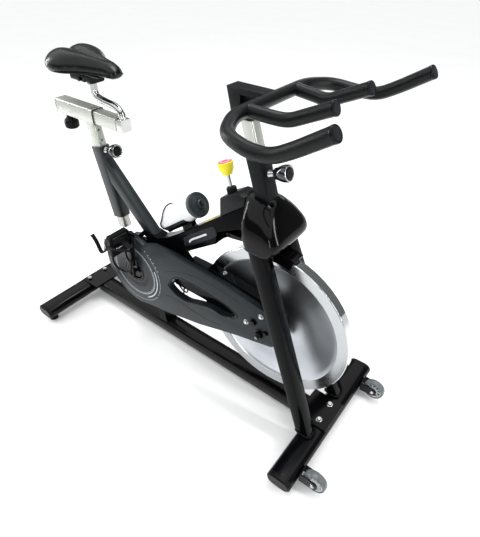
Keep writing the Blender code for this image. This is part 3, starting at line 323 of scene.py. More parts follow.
def paint_all():
    black = finish("gloss_black", (0.0015, 0.0015, 0.002), 0.16, coat=0.08, edge=(0.03, 0.03, 0.035), bump=0.02)
    satin = finish("satin_black", (0.0015, 0.0017, 0.0022), 0.13, coat=0.06, shine=0.05,
                   edge=(0.07, 0.07, 0.075), bump=0.03)
    textured = finish("textured_paint", (0.003, 0.004, 0.0045), 0.38, grain=1500.0, bump=0.45, depth=0.0006,
                      edge=(0.06, 0.06, 0.06))
    slate = finish("slate_paint", (0.006, 0.0075, 0.0095), 0.32, coat=0.05, edge=(0.09, 0.09, 0.10), bump=0.05)
    plastic = finish("moulded_black", (0.0025, 0.0025, 0.003), 0.34, grain=900.0, bump=0.18)
    grey = finish("moulded_grey", (0.022, 0.026, 0.030), 0.36, grain=800.0, bump=0.15)
    soft = finish("rubber", (0.007, 0.007, 0.0075), 0.65, grain=700.0, bump=0.30)
    bright = finish("chrome", (0.50, 0.515, 0.50), 0.09, metal=1.0, spread=0.10, scale=30.0, bump=0.01,
                    rough_spread=0.35)
    brushed = finish("brushed_rail", (0.50, 0.515, 0.47), 0.24, metal=0.55, spread=0.06, grain=500.0,
                     stretch=(0.04, 1, 1), bump=0.06)
    steel = finish("zinc_steel", (0.36, 0.37, 0.38), 0.30, metal=1.0, spread=0.10, bump=0.04)
    paint([n for n in NODES if n.startswith(("stabiliser", "base_beam", "wheel_bracket"))], black)
    paint([n for n in NODES if n.startswith("end_cap")], plastic)
    paint([n for n in NODES if n.startswith("levelling_foot")], soft)
    paint(["fork_leg_left", "fork_leg_right", "riser", "stay_left", "stay_right"], satin)
    # Seat and brace tubes get a lighter base than the other black paints: a painted highlight for the light on their
    # left faces.
    paint(["seat_tube", "brace_tube"], finish("highlight_lightened_paint", (0.011, 0.016, 0.018), 0.34, shine=0.40, bump=0.03,
                                              edge=(0.06, 0.06, 0.065)))
    paint(["mid_beam", "upper_beam"], finish("beam_black", (0.0018, 0.0020, 0.0026), 0.24, shine=0.04, bump=0.03,
                                             edge=(0.05, 0.05, 0.055)))
    paint(["head_tube", "handlebar_stem"], textured)
    paint(["fork_shroud"], finish("shroud", (0.001, 0.001, 0.0013), 0.10, coat=0.12, bump=0.02, edge_radius=0.006,
                                  edge=(0.02, 0.02, 0.022)), 60)
    paint(["brake_housing"], slate)
    paint(["belt_guard_cover"], guard_finish())
    paint(["belt_guard_back", "pedal_left", "pedal_right", "toe_clip_left", "toe_clip_right",
           "slider_knob", "saddle"], plastic)
    paint(["handlebar"], finish("dipped_grip", (0.0022, 0.0030, 0.0034), 0.30, grain=900.0, bump=0.80, shine=0.20,
                                depth=0.0005), 60)
    paint(["flywheel"], flywheel_finish())
    paint(["swan_neck", "head_pin", "seat_pin", "tension_rod"], bright)
    paint(["seat_post", "handlebar_post", "seat_sleeve", "slider_tube"], brushed)
    paint(["flywheel_shaft", "hub_bearing_left", "hub_bearing_right"], steel)
    paint(["crank_spindle", "crank_arm_left", "crank_arm_right", "saddle_clamp", "brake_arm", "bottle_cage"], black)
    paint(["drive_belt", "brake_pad"], soft)
    paint(["tension_knob"], knob_finish())
    paint(["bottle"], finish("bottle_white", (0.84, 0.85, 0.86), 0.28, spread=0.03, bump=0.04))
    paint(["bottle_cap"], grey)
    paint(["transport_wheel_left", "transport_wheel_right"],
          finish("clear_grey", (0.55, 0.58, 0.60), 0.25, spread=0.08, bump=0.04))


# ---------------------------------------------------------------- mesh helpers

def piece(name, points, faces, material, body, smooth=40):
    mesh = bpy.data.meshes.new(name)
    mesh.from_pydata([tuple(p) for p in points], [], faces)
    mesh.update()
    mesh.shade_smooth()
    mesh.set_sharp_from_angle(angle=math.radians(smooth))
    mesh.materials.append(material)
    obj = bpy.data.objects.new(name, mesh)
    bpy.context.scene.collection.objects.link(obj)
    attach(obj, body)
    return obj


def axes(direction):
    """The direction as a unit vector, and two more square to it."""
    direction = Vector(direction).normalized()
    side = Vector((0, 1, 0))
    if abs(direction.dot(side)) > 0.95:
        side = Vector((1, 0, 0))
    side = (side - direction * side.dot(direction)).normalized()
    return direction, side, direction.cross(side)


def turned(profile, centre, axis, count=48, flutes=0, depth=0.0):
    """Points and faces of (radius, height) pairs turned about an axis, with flutes cut into the wide rings."""
    axis, across, up = axes(axis)
    points, faces, rings = [], [], []
    for radius, height in profile:
        ring = []
        for i in range(count if radius else 1):
            a = 2 * math.pi * i / count
            groove = depth * (0.5 - 0.5 * math.cos(flutes * a)) ** 2 if flutes and radius > 0.014 else 0.0
            points.append(Vector(centre) + axis * height
                          + (across * math.cos(a) + up * math.sin(a)) * (radius - groove))
            ring.append(len(points) - 1)
        rings.append(ring)
    for a, b in zip(rings, rings[1:]):
        for i in range(count):
            j = (i + 1) % count
            quad = (a[i % len(a)], a[j % len(a)], b[j % len(b)], b[i % len(b)])
            faces.append(tuple(dict.fromkeys(quad)))
    return points, [f for f in faces if len(f) > 2]


def bands(size, first, second):
    """Faces between two rings of this many points, from the number each ring starts at."""
    return [(first + j, first + (j + 1) % size, second + (j + 1) % size, second + j) for j in range(size)]


def mirrored(points):
    """The points on the other side, in reverse, so that they carry the line on."""
    return [Vector((p.x, -p.y, p.z)) for p in reversed(points)]


def merged(*shapes):
    points, faces = [], []
    for more_points, more_faces in shapes:
        base = len(points)
        points += list(more_points)
        faces += [tuple(base + k for k in face) for face in more_faces]
    return points, faces


def curve_through(points, steps=6, loop=False):
    """A Catmull-Rom curve through the points."""
    points = [Vector(p) for p in points]
    count = len(points)
    out = []
    for i in range(count if loop else count - 1):
        p0, p1, p2, p3 = (points[(i + k) % count] if loop else points[min(max(i + k, 0), count - 1)]
                          for k in (-1, 0, 1, 2))
        for k in range(steps):
            t = k / steps
            out.append(0.5 * (2 * p1 + (p2 - p0) * t + (2 * p0 - 5 * p1 + 4 * p2 - p3) * t * t
                              + (3 * p1 - p0 - 3 * p2 + p3) * t ** 3))
    return out if loop else out + [points[-1]]


def swept(path, section, hold, loop=False):
    """A section carried along a path. hold is the direction its first axis keeps to."""
    count = len(path)
    rings = []
    hold = Vector(hold)
    for i, point in enumerate(path):
        before = path[i - 1] if loop else path[max(i - 1, 0)]
        after = path[(i + 1) % count] if loop else path[min(i + 1, count - 1)]
        tangent = (after - before).normalized()
        across = (hold - tangent * hold.dot(tangent)).normalized()
        up = tangent.cross(across)
        rings.append([point + across * a + up * b for a, b in section])
    size = len(section)
    points = [p for ring in rings for p in ring]
    faces = []
    for i in range(count if loop else count - 1):
        faces += bands(size, i * size, ((i + 1) % count) * size)
    if not loop:
        faces += [tuple(range(size)), tuple(reversed(range((count - 1) * size, count * size)))]
    return points, faces


def oval(wide, high, count=10):
    return [(wide * math.cos(2 * math.pi * i / count), high * math.sin(2 * math.pi * i / count))
            for i in range(count)]


def strap(wide, thick):
    return [(wide, thick * 0.6), (wide * 0.9, thick), (-wide * 0.9, thick), (-wide, thick * 0.6),
            (-wide, -thick * 0.6), (-wide * 0.9, -thick), (wide * 0.9, -thick), (wide, -thick * 0.6)]


def hexagon_bolt(centre, axis, radius, high):
    """A washer under a hexagon head with a chamfered top."""
    washer = turned([(0, 0), (radius * 1.35, 0), (radius * 1.35, high * 0.16), (radius, high * 0.2)],
                    centre, axis, 32)
    head = turned([(radius, high * 0.2), (radius, high * 0.86), (radius * 0.84, high), (0, high)], centre, axis, 6)
    return merged(washer, head)


# ---------------------------------------------------------------- saddle

def saddle():
    """The padded cover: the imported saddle's shape puffed by cloth pressure, with the channel down its middle."""
    mesh = NODES["saddle"].data.copy()
    obj = bpy.data.objects.new("saddle_pad", mesh)
    bpy.context.scene.collection.objects.link(obj)
    while len(mesh.materials):
        mesh.materials.pop()
    mesh.materials.append(leather())
    for vertex in mesh.vertices:
        vertex.co.y *= 0.985
    remesh = obj.modifiers.new("remesh", "REMESH")
    remesh.mode = "VOXEL"
    remesh.voxel_size = 0.0042
    bpy.context.view_layer.objects.active = obj
    obj.select_set(True)
    bpy.ops.object.modifier_apply(modifier="remesh")
    smoothed(obj, "relax", 0.6, 22)
    puff(obj)
    smoothed(obj, "settle", 0.5, 24)  # weakens the small creases that the pressure leaves
    low = min(v.co.z for v in obj.data.vertices)
    for vertex in obj.data.vertices:
        co = vertex.co
        if co.z > low + 0.030:
            # the pressure channel runs down the middle and widens to the notch between the lobes
            wide = 0.007 + max(0.0, at(-0.70, 0, 0).x - co.x) * 0.09
            channel = math.exp(-(co.y / wide) ** 2)
            fade = min(1.0, max(0.0, (at(-0.585, 0, 0).x - co.x) / 0.06))
            co.z -= CHANNEL_DEPTH * channel * fade
    smooth = obj.modifiers.new("smooth", "SUBSURF")
    smooth.levels = smooth.render_levels = 1
    bpy.ops.object.modifier_apply(modifier="smooth")
    obj.data.shade_smooth()
    obj.select_set(False)
    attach(obj, "saddle")
    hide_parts("saddle")


def smoothed(obj, name, factor, times):
    smooth = obj.modifiers.new(name, "SMOOTH")
    smooth.factor = factor
    smooth.iterations = times
    bpy.ops.object.modifier_apply(modifier=name)


def puff(obj):
    """Cloth pressure for some frames, held to a few millimetres of growth."""
    start = [v.co.copy() for v in obj.data.vertices]
    cloth = obj.modifiers.new("cloth", "CLOTH")
    cloth.settings.use_pressure = True
    cloth.settings.uniform_pressure_force = 4.0
    cloth.settings.effector_weights.gravity = 0.0
    cloth.settings.quality = 5
    cloth.point_cache.frame_start = 1
    cloth.point_cache.frame_end = PUFF_FRAMES
    scene = bpy.context.scene
    for number in range(1, PUFF_FRAMES + 1):
        scene.frame_set(number)
    graph = bpy.context.evaluated_depsgraph_get()
    moved = [v.co.copy() for v in obj.evaluated_get(graph).to_mesh().vertices]
    obj.evaluated_get(graph).to_mesh_clear()
    obj.modifiers.remove(cloth)
    scene.frame_set(1)
    for vertex, before, after in zip(obj.data.vertices, start, moved):
        step = after - before
        vertex.co = before + step * (min(step.length, MOST_PUFF) / max(step.length, 1e-9))


def saddle_trim(black):
    """The rim of the moulded pan that closes the cover from below."""
    outline = [(-0.808, 0.036), (-0.797, 0.068), (-0.775, 0.088), (-0.745, 0.0925), (-0.715, 0.086),
               (-0.685, 0.066), (-0.655, 0.046), (-0.620, 0.033), (-0.590, 0.0285), (-0.566, 0.0245)]
    left = [at(-0.69 + (x + 0.69) * 0.95, y * 0.90, 0.9560) for x, y in outline]
    path = curve_through(left + mirrored(left), 5, loop=True)
    piece("saddle_pan_rim", *swept(path, oval(0.0030, 0.0022, 8), (0, 0, 1), True), black, "saddle")


# ---------------------------------------------------------------- hardware and trim

def transport_wheels(black, bright):
    """Clear tyres on spoked rims, with seals and axle caps."""
    clear = finish("clear_tyre", (0.11, 0.125, 0.13), 0.16, spread=0.35, scale=60.0, coat=0.3, bump=0.06)
    rim = finish("wheel_rim", (0.62, 0.66, 0.66), 0.30, spread=0.08, bump=0.04)
    for side, word in SIDES:
        centre = at(0.298, side * 0.200, 0.052)
        body = f"transport_wheel_{word}"
        tyre = [(0.0283, -0.0100), (0.0300, -0.0118), (0.0335, -0.0110), (0.0355, -0.0075), (0.0360, -0.0030),
                (0.0360, 0.0030), (0.0355, 0.0075), (0.0335, 0.0110), (0.0300, 0.0118), (0.0283, 0.0100)]
        made = piece(f"wheel_tyre_{word}", *turned(tyre, centre, (0, 1, 0), 64), clear, body)
        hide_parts(f"transport_wheel_{word}")
        web = [turned([(0.0258, -0.0090), (0.0284, -0.0102), (0.0284, 0.0102), (0.0258, 0.0090),
                       (0.0258, -0.0090)], centre, (0, 1, 0), 64),
               turned([(0.0047, -0.0118), (0.0130, -0.0118), (0.0150, -0.0085), (0.0150, 0.0085),
                       (0.0130, 0.0118), (0.0047, 0.0118), (0.0047, -0.0118)], centre, (0, 1, 0), 48)]
        for i in range(10):
            a = 2 * math.pi * i / 10
            out = Vector((math.cos(a), 0, math.sin(a)))
            path = [centre + out * 0.0140, centre + out * 0.0200, centre + out * 0.0262]
            web.append(swept(path, strap(0.0084, 0.0022), (0, 1, 0)))
        piece(f"wheel_web_{word}", *merged(*web), rim, body)
        # A black disc behind the spokes: painted shade in the gaps between them.
        ground = turned([(0.0145, -0.0045), (0.0262, -0.0045), (0.0262, 0.0045), (0.0145, 0.0045),
                         (0.0145, -0.0045)], centre, (0, 1, 0), 48)
        piece(f"wheel_gap_shade_{word}", *ground, black, body)
        for way in (-1, 1):
            end = f"{word}_{'in' if way * side < 0 else 'out'}"
            dark = turned([(0.0052, 0.0119), (0.0128, 0.0119), (0.0120, 0.0130), (0.0052, 0.0132)], centre,
                          (0, way, 0), 40)
            piece(f"wheel_seal_{end}", *dark, black, body)
            cap = turned([(0, 0.0225), (0.0045, 0.0222), (0.0062, 0.0205), (0.0066, 0.0187), (0.0040, 0.0186),
                          (0, 0.0186)][::-1], centre, (0, way, 0), 32)
            piece(f"wheel_axle_cap_{end}", *cap, bright, "frame")


def pull_pins(black, bright):
    """The pins' knobs, each built out from the face of its tube."""
    smoked = finish("smoked_plating", (0.07, 0.075, 0.08), 0.10, metal=1.0, spread=0.2, bump=0.02)
    for node, x, z, thick, slope in (("head_pin", -0.094168, 0.816, 0.046, -0.323),
                                     ("seat_pin", -0.70544, 0.702, 0.050, -0.220)):
        along = Vector((slope, 0, 1)).normalized()
        across = Vector((along.z, 0, -along.x))
        if node == "head_pin":  # its x is given at the tube's rear face, not in its middle
            x += thick / 2 / along.z
        face = at(x, 0, z) + across * thick / 2
        neck = turned([(0, 0.0004), (0.0116, 0.0004), (0.0116, 0.004), (0.0102, 0.007), (0.0098, 0.0175),
                       (0.0118, 0.0200), (0, 0.0200)], face, across, 48)
        made = piece(f"{node}_neck", *neck, bright, node)
        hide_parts(node)
        ring = turned([(0.0100, 0.0201), (0.0142, 0.0201), (0.0150, 0.0225), (0.0150, 0.0275), (0.0142, 0.0300),
                       (0.0100, 0.0300)], face, across, 60, 20, 0.0010)
        piece(f"{node}_ring", *ring, black, node)
        cup = turned([(0.0100, 0.0301), (0.0165, 0.0301), (0.0180, 0.0325), (0.0208, 0.0430), (0.0213, 0.0470),
                      (0.0213, 0.0560), (0.0202, 0.0585), (0.0170, 0.0590), (0.0164, 0.0575), (0.0150, 0.0570),
                      (0.0100, 0.0570)], face, across, 60)
        piece(f"{node}_cup", *cup, smoked, node)
        end = turned([(0.0154, 0.0560), (0.0154, 0.0577), (0.0120, 0.0586), (0.0070, 0.0584), (0.0062, 0.0570),
                      (0, 0.0570)], face, across, 48)
        piece(f"{node}_end", *end, black, node)
        lip = turned([(0.0166, 0.0588), (0.0172, 0.0593), (0.0186, 0.0592), (0.0192, 0.0586)], face, across, 60)
        piece(f"{node}_lip", *lip, bright, node)


def knobs(black):
    """The fluted clamp knob, the tension knob's lip and the boot round its rod."""
    centre = at(-0.842, 0, 0.745)
    profile = [(0, 0.0), (0.017, 0.0), (0.0205, 0.002), (0.0228, 0.006), (0.0237, 0.014), (0.0236, 0.020),
               (0.0218, 0.027), (0.0150, 0.033), (0.0128, 0.036), (0.0124, 0.0415), (0.005, 0.0425), (0, 0.0425)]
    made = piece("clamp_knob", *turned(profile, centre, (0, 0, 1), 96, 12, 0.0035), black, "slider_knob")
    lip = [(0.0214, 0.0260), (0.0216, 0.0275), (0.0216, 0.0310), (0.0212, 0.0325)]
    piece("tension_knob_lip", *turned(lip, KNOB_FOOT, KNOB_AXIS, 60), NODES["tension_knob"].data.materials[0],
          "tension_knob")
    foot = KNOB_FOOT - KNOB_AXIS * 0.0566
    folds = [(0.0134, -0.002)]
    for i in range(4):
        folds += [(0.0150, 0.001 + i * 0.0055), (0.0134, 0.0038 + i * 0.0055)]
    folds.append((0.0060, 0.0226))
    piece("rod_boot", *turned(folds, foot, KNOB_AXIS, 40),
          finish("boot_rubber", (0.006, 0.006, 0.006), 0.6, bump=0.2), "frame")


def bottle_details(black, grey, white):
    """The ribbed cap with its rings and spout, and the waisted bottle. Heights run along it from its foot."""
    axis = Vector((0.797, 0.0, 0.604)).normalized()
    rear = at(-0.280, 0, 0.655) - axis * 0.185
    cap = [(0, 0.1658), (0.0378, 0.1658), (0.0385, 0.1668), (0.0385, 0.1790), (0.0372, 0.1808), (0.0350, 0.1815)]
    for k in range(4):
        r = 0.0335 - k * 0.0050
        cap += [(r, 0.1832 + k * 0.0008), (r - 0.0022, 0.1832 + k * 0.0008), (r - 0.0027, 0.1816 + k * 0.0008)]
    cap += [(0.0135, 0.1850), (0.0128, 0.1925), (0.0112, 0.1938), (0.0096, 0.1945), (0.0092, 0.2020),
            (0.0075, 0.2046), (0.0028, 0.2048), (0.0022, 0.2036), (0, 0.2036)]
    made = piece("bottle_cap_ribbed", *turned(cap, rear, axis, 120, 40, 0.0009), grey, "bottle", 30)
    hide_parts("bottle_cap")
    # Black rings laid in the cap's grooves: painted shade in the grooves.
    for k in range(5):
        groove = 0.0350 - k * 0.0050
        dark = turned([(groove, 0.1814 + k * 0.0008), (groove - 0.0006, 0.1828 + k * 0.0008),
                       (groove - 0.0016, 0.1814 + k * 0.0008)], rear, axis, 60)
        piece(f"bottle_cap_groove_shade_{k}", *dark, black, "bottle")
    tip = turned([(0.0098, 0.1947), (0.0100, 0.2005), (0.0094, 0.2022), (0.0080, 0.2042)], rear, axis, 40)
    piece("bottle_spout_band", *tip, black, "bottle")
    body = [(0, 0.0002), (0.020, 0.0002), (0.022, 0.0030), (0.026, 0.0032), (0.0300, 0.0004), (0.0345, 0.0020),
            (0.0362, 0.0060), (0.0364, 0.0300), (0.0364, 0.0900), (0.0361, 0.1180), (0.0345, 0.1290),
            (0.0318, 0.1370), (0.0312, 0.1410), (0.0322, 0.1470), (0.0348, 0.1540), (0.0354, 0.1650), (0, 0.1652)]
    made = piece("bottle_body", *turned(body, rear, axis, 96), white, "bottle", 40)
    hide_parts("bottle")
    for k, reach in enumerate((0.030, 0.036, 0.112, 0.118)):
        groove = turned([(0.0360, reach - 0.0012), (0.03665, reach), (0.0360, reach + 0.0012)], rear, axis, 72)
        piece(f"bottle_rib_{k}", *groove, white, "bottle")


GUARD_HOLE = [(-0.370, 0.348), (-0.352, 0.379), (-0.323, 0.400), (-0.271, 0.407), (-0.189, 0.403), (-0.131, 0.397),
              (-0.086, 0.380), (-0.105, 0.357), (-0.144, 0.345), (-0.184, 0.349), (-0.234, 0.339),
              (-0.287, 0.320), (-0.331, 0.321), (-0.360, 0.335)]


def guard_details(black, bright, steel):
    """The lip of the guard's opening, its creases, rings, prints and bolts, and the crank's caps."""
    lip = curve_through([at(x, GUARD_FACE, z) for x, z in GUARD_HOLE], 5, loop=True)
    middle = sum(lip, Vector()) / len(lip)
    lip = [p + (p - middle).normalized() * 0.0030 for p in lip]
    piece("guard_hole_lip", *swept(lip, oval(0.0016, 0.0022, 8), (0, 1, 0), True), black, "frame")
    creases = {"upper": [(-0.392, 0.386), (-0.372, 0.402), (-0.343, 0.417), (-0.285, 0.438), (-0.223, 0.446),
                         (-0.150, 0.446), (-0.080, 0.436)],
               "lower": [(-0.446, 0.250), (-0.420, 0.272), (-0.390, 0.290), (-0.342, 0.297), (-0.275, 0.292),
                         (-0.215, 0.288), (-0.150, 0.296)]}
    for word, line in creases.items():
        path = curve_through([at(x, GUARD_FACE + 0.0002, z) for x, z in line], 6)
        piece(f"guard_crease_{word}", *swept(path, oval(0.0006, 0.0012, 8), (0, 1, 0)), black, "frame")
    dish = turned([(0.0362, 0.0735), (0.0375, 0.0752), (0.0430, 0.0758), (0.0470, 0.0752), (0.0485, 0.0738)], CRANK,
                  (0, -1, 0), 72)
    piece("guard_hub_ring", *dish, black, "frame")
    # A flat black crescent on the guard's face below the crank: painted shade for the recess there.
    crescent = []
    for a in np.linspace(math.radians(-130), math.radians(10), 28):
        swell = 0.013 * math.sin(math.pi * (a + math.radians(130)) / math.radians(140))
        out = Vector((math.cos(a), 0, math.sin(a)))
        crescent += [CRANK + out * (0.0640 - swell), CRANK + out * (0.0640 + swell * 0.35)]
    drop = Vector((0, GUARD_FACE - 0.0002, 0))
    points = [p + drop for p in crescent]
    faces = [(k, k + 1, k + 3, k + 2) for k in range(0, len(points) - 2, 2)]
    piece("guard_recess_shade", points, faces, black, "frame")
    arc_line = [CRANK + Vector((0.1115 * math.cos(a), GUARD_FACE, 0.1115 * math.sin(a)))
                for a in np.linspace(math.radians(-62), math.radians(22), 24)]
    pale = finish("printed_pale", (0.60, 0.64, 0.68), 0.4, spread=0.15, scale=90.0)
    piece("guard_arc_print", *swept(arc_line, oval(0.00025, 0.0022, 8), (0, 1, 0)), pale, "frame")
    for k in range(6):
        a = math.radians(58 - 7.0 * k)
        out = Vector((math.cos(a), 0, math.sin(a)))
        dash = [CRANK + out * 0.1290 + drop, CRANK + out * 0.1335 + drop]
        piece(f"guard_dash_{k}", *swept(dash, oval(0.0002, 0.0013, 6), (0, 1, 0)), pale, "frame")
    for k, (x, z) in enumerate(((-0.050, 0.376), (0.001, 0.427))):
        piece(f"guard_bolt_{k}", *hexagon_bolt(at(x, GUARD_FACE, z), (0, -1, 0), 0.0062, 0.006), bright, "frame", 30)
    for k, (x, z, r, high) in enumerate(((-0.024, 0.391, 0.0105, 0.010), (0.0, 0.356, 0.0125, 0.014),
                                         (0.020, 0.372, 0.0070, 0.008))):
        piece(f"axle_nut_{k}", *hexagon_bolt(at(x, GUARD_FACE, z), (0, -1, 0), r, high), black, "frame", 30)
    stud = turned([(0, 0.0145), (0.0052, 0.0145), (0.0052, 0.0205), (0.0042, 0.0215), (0, 0.0215)],
                  at(0, GUARD_FACE, AXLE.z), (0, -1, 0), 24)
    piece("axle_stud", *stud, steel, "frame")
    for sign, word in SIDES:
        cap = turned([(0, 0.0951), (0.0120, 0.0951), (0.0120, 0.0975), (0.0095, 0.0995), (0.0045, 0.1000),
                      (0, 0.1000)], CRANK, (0, sign, 0), 40)
        piece(f"crank_cap_{word}", *cap, black, "crank")


def frame_bolts(bright):
    """Bolts on the stabilisers' plates, the stays and the sides of the mid beam."""
    up = (0, 0, 1)
    for sign, word in SIDES:
        front = hexagon_bolt(at(0.214, sign * 0.035, 0.0774), up, 0.0075, 0.007)
        piece(f"plate_bolt_{word}", *front, bright, "frame", 30)
        rear = hexagon_bolt(at(-0.905, sign * 0.040, 0.0832), up, 0.0062, 0.004)
        piece(f"rear_bolt_{word}", *rear, bright, "frame", 30)
        top = turned([(0, 0), (0.0075, 0), (0.0078, 0.002), (0.0060, 0.0048), (0.0030, 0.0056), (0, 0.0056)],
                     at(-0.158, sign * 0.038, 0.4808), (0.118, 0, 0.993), 32)
        piece(f"stay_bolt_{word}", *top, bright, "frame")
        spot = turned([(0, 0), (0.0070, 0), (0.0072, 0.002), (0.0050, 0.0045), (0, 0.0050)],
                      at(-0.510, -0.0286 if sign < 0 else 0.0236, 0.455), (0, sign, 0), 32)
        piece(f"gusset_bolt_{word}", *spot, bright, "frame")


def leg_welds(black):
    """A run of weld ripples round the foot of each leg."""
    for sign, word in SIDES:
        x, y = 0.1974576, sign * 0.0925
        loop = []
        for i in range(64):
            a = 2 * math.pi * i / 64
            c, s = math.cos(a), math.sin(a)
            k = (abs(c) ** 5 + abs(s) ** 5) ** (-0.2)  # a rounded square
            loop.append(at(x + 0.0252 * c * k, y + 0.0222 * s * k, 0.0784))
        count = len(loop)
        rings = []
        for i, point in enumerate(loop):
            swell = 0.0024 + 0.0006 * math.sin(i * 2.1)
            tangent = (loop[(i + 1) % count] - loop[i - 1]).normalized()
            out = tangent.cross(Vector((0, 0, 1)))
            rings += [point + out * a + Vector((0, 0, b)) for a, b in oval(swell, swell, 8)]
        faces = []
        for i in range(count):
            faces += bands(8, i * 8, ((i + 1) % count) * 8)
        piece(f"leg_weld_{word}", rings, faces, black, "frame", 60)


CRANK_ANGLE, CRANK_LENGTH = math.radians(80), 0.170


def pedal_details(black, soft, steel):
    """Toe straps with a buckle and a loose end, and the pedals' studs. local() mirrors a place to the other side."""
    along = Vector((math.cos(CRANK_ANGLE), 0, math.sin(CRANK_ANGLE)))
    for sign, word in SIDES:
        tip = CRANK - along * CRANK_LENGTH * sign
        body = f"pedal_{word}"

        def local(x, y, z):
            return tip + Vector((x, sign * y, z))

        def line(*places):
            return [local(*place) for place in places]

        cord = curve_through(line((0.059, 0.145, -0.004), (0.050, 0.160, 0.003), (0.026, 0.1765, 0.004),
                                  (0.000, 0.1790, 0.001), (-0.019, 0.172, -0.002), (-0.023, 0.150, -0.003),
                                  (-0.023, 0.128, -0.003), (-0.019, 0.108, 0.000), (0.004, 0.0985, 0.003),
                                  (0.028, 0.101, 0.004), (0.052, 0.118, 0.003), (0.059, 0.131, -0.004)),
                             5, loop=True)
        piece(f"toe_strap_{word}", *swept(cord, strap(0.0042, 0.0011), (0, 0, 1), True), soft, body)
        if sign < 0:
            tail = line((-0.024, 0.168, 0.002), (-0.062, 0.152, -0.055), (-0.100, 0.143, -0.080),
                        (-0.122, 0.140, -0.048), (-0.139, 0.140, -0.028))
        else:
            tail = line((-0.024, 0.170, 0.006), (-0.060, 0.160, -0.006), (-0.110, 0.150, -0.024),
                        (-0.138, 0.146, -0.030))
        piece(f"strap_tail_{word}", *swept(curve_through(tail, 6), strap(0.0070, 0.0014), (0, 1, 0)), soft, body)
        bars = (((-0.030, 0.166, 0.014), (-0.030, 0.166, -0.010), (0, 1, 0)),
                ((-0.016, 0.179, 0.014), (-0.016, 0.179, -0.010), (0, 1, 0)),
                ((-0.032, 0.164, 0.012), (-0.014, 0.181, 0.012), (0, 0, 1)),
                ((-0.032, 0.164, -0.008), (-0.014, 0.181, -0.008), (0, 0, 1)))
        buckle = merged(*(swept(line(start, end), oval(0.0022, 0.0022, 8), hold) for start, end, hold in bars))
        piece(f"strap_buckle_{word}", *buckle, steel, body)
        studs = []
        for z in (-0.03201, -0.00582, 0.00582, 0.03201):
            for y in (0.108, 0.168):
                for way in (-1, 1):
                    studs.append(turned([(0, 0.0085), (0.0026, 0.0085), (0.0018, 0.0135), (0, 0.0138)],
                                        local(0, y, z), (way, 0, 0), 10))
        piece(f"pedal_studs_{word}", *merged(*studs), black, body)


def seat_trim(black):
    """The dark gaskets at the two mouths of the sleeve."""
    wide, high, corner = 0.0440, 0.0450, 0.006
    for name, x, deep in (("sleeve_gasket", -0.6895, 0.0018), ("sleeve_rear_gasket", -0.8725, 0.0015)):
        loop = []
        for cy, cz, start in ((1, 1, 0), (-1, 1, 90), (-1, -1, 180), (1, -1, 270)):
            for i in range(5):
                a = math.radians(start + 22.5 * i)
                loop.append(at(x, cy * (wide / 2 - corner) + corner * math.cos(a),
                               SLIDE_HEIGHT + cz * (high / 2 - corner) + corner * math.sin(a)))
        piece(name, *swept(loop, oval(deep, 0.0012, 8), (1, 0, 0), True), black, "seat_post")


def beam_panel(grey, pale):
    """A moulded side panel on the upper beam with a plain stripe."""
    shape = [(-0.318, 0.503), (-0.214, 0.5745), (-0.198, 0.600), (-0.206, 0.617), (-0.222, 0.610),
             (-0.322, 0.536), (-0.330, 0.520)]
    outline = curve_through([at(x, 0, z) for x, z in shape], 5, loop=True)
    middle = sum(outline, Vector()) / len(outline)
    stripe = ((-0.306, 0.5215), (-0.303, 0.5290), (-0.292, 0.5400), (-0.270, 0.5560), (-0.235, 0.5820))
    for sign, word in SIDES:
        rings = []
        for inset, lift in ((0.0, 0.0252), (0.0, 0.0262), (0.0022, 0.0272), (0.006, PANEL_LIFT)):
            rings.append([Vector((0, sign * lift, 0)) + p + (middle - p).normalized() * inset for p in outline])
        count = len(outline)
        points = [p for ring in rings for p in ring]
        faces = [tuple(range(3 * count, 4 * count))]
        for i in range(3):
            faces += bands(count, i * count, (i + 1) * count)
        piece(f"beam_panel_{word}", points, faces, grey, "frame")
        line = curve_through([at(x, sign * PANEL_LIFT, z) for x, z in stripe], 5)
        piece(f"beam_stripe_{word}", *swept(line, oval(0.0003, 0.0032, 8), (0, 1, 0)), pale, "frame")


def beam_label(black):
    """A plain warning strip, yellow with dark bars, along the top of the upper beam."""
    yellow = finish("label_yellow", (0.72, 0.66, 0.03), 0.4, spread=0.10, scale=120.0)
    slope = Vector((0.795, 0, 0.606))
    normal = Vector((-0.606, 0, 0.795))
    start = at(-0.252, 0, 0.6094)

    def patch(name, low, high, y0, y1, lift, material):
        """A thin lid from low to high along the beam and y0 to y1 across it, lifted off its top."""
        corners = [start + slope * a + Vector((0, y, 0)) + normal * lift
                   for a, y in ((low, y0), (high, y0), (high, y1), (low, y1))]
        lower = [c - normal * 0.0006 for c in corners]
        faces = [(0, 1, 2, 3), (4, 5, 1, 0), (5, 6, 2, 1), (6, 7, 3, 2), (7, 4, 0, 3)]
        piece(name, corners + lower, faces, material, "frame", 30)

    patch("beam_label", 0.0, 0.066, -0.019, -0.005, 0.0008, yellow)
    for k in range(5):
        patch(f"beam_label_bar_{k}", 0.040 + 0.005 * k, 0.0425 + 0.005 * k, -0.017, -0.007, 0.0010, black)


def rounded_path(points, radius, steps):
    """The path with each inner corner replaced by a curve of about this radius."""
    points = [Vector(p) for p in points]
    out = [points[0]]
    for before, here, after in zip(points, points[1:], points[2:]):
        back, ahead = before - here, after - here
        reach = min(radius, back.length * 0.45, ahead.length * 0.45)
        start, end = here + back.normalized() * reach, here + ahead.normalized() * reach
        out += [start * (1 - t) ** 2 + here * (2 * t * (1 - t)) + end * t ** 2
                for t in (k / steps for k in range(steps + 1))]
    return out + [points[-1]]


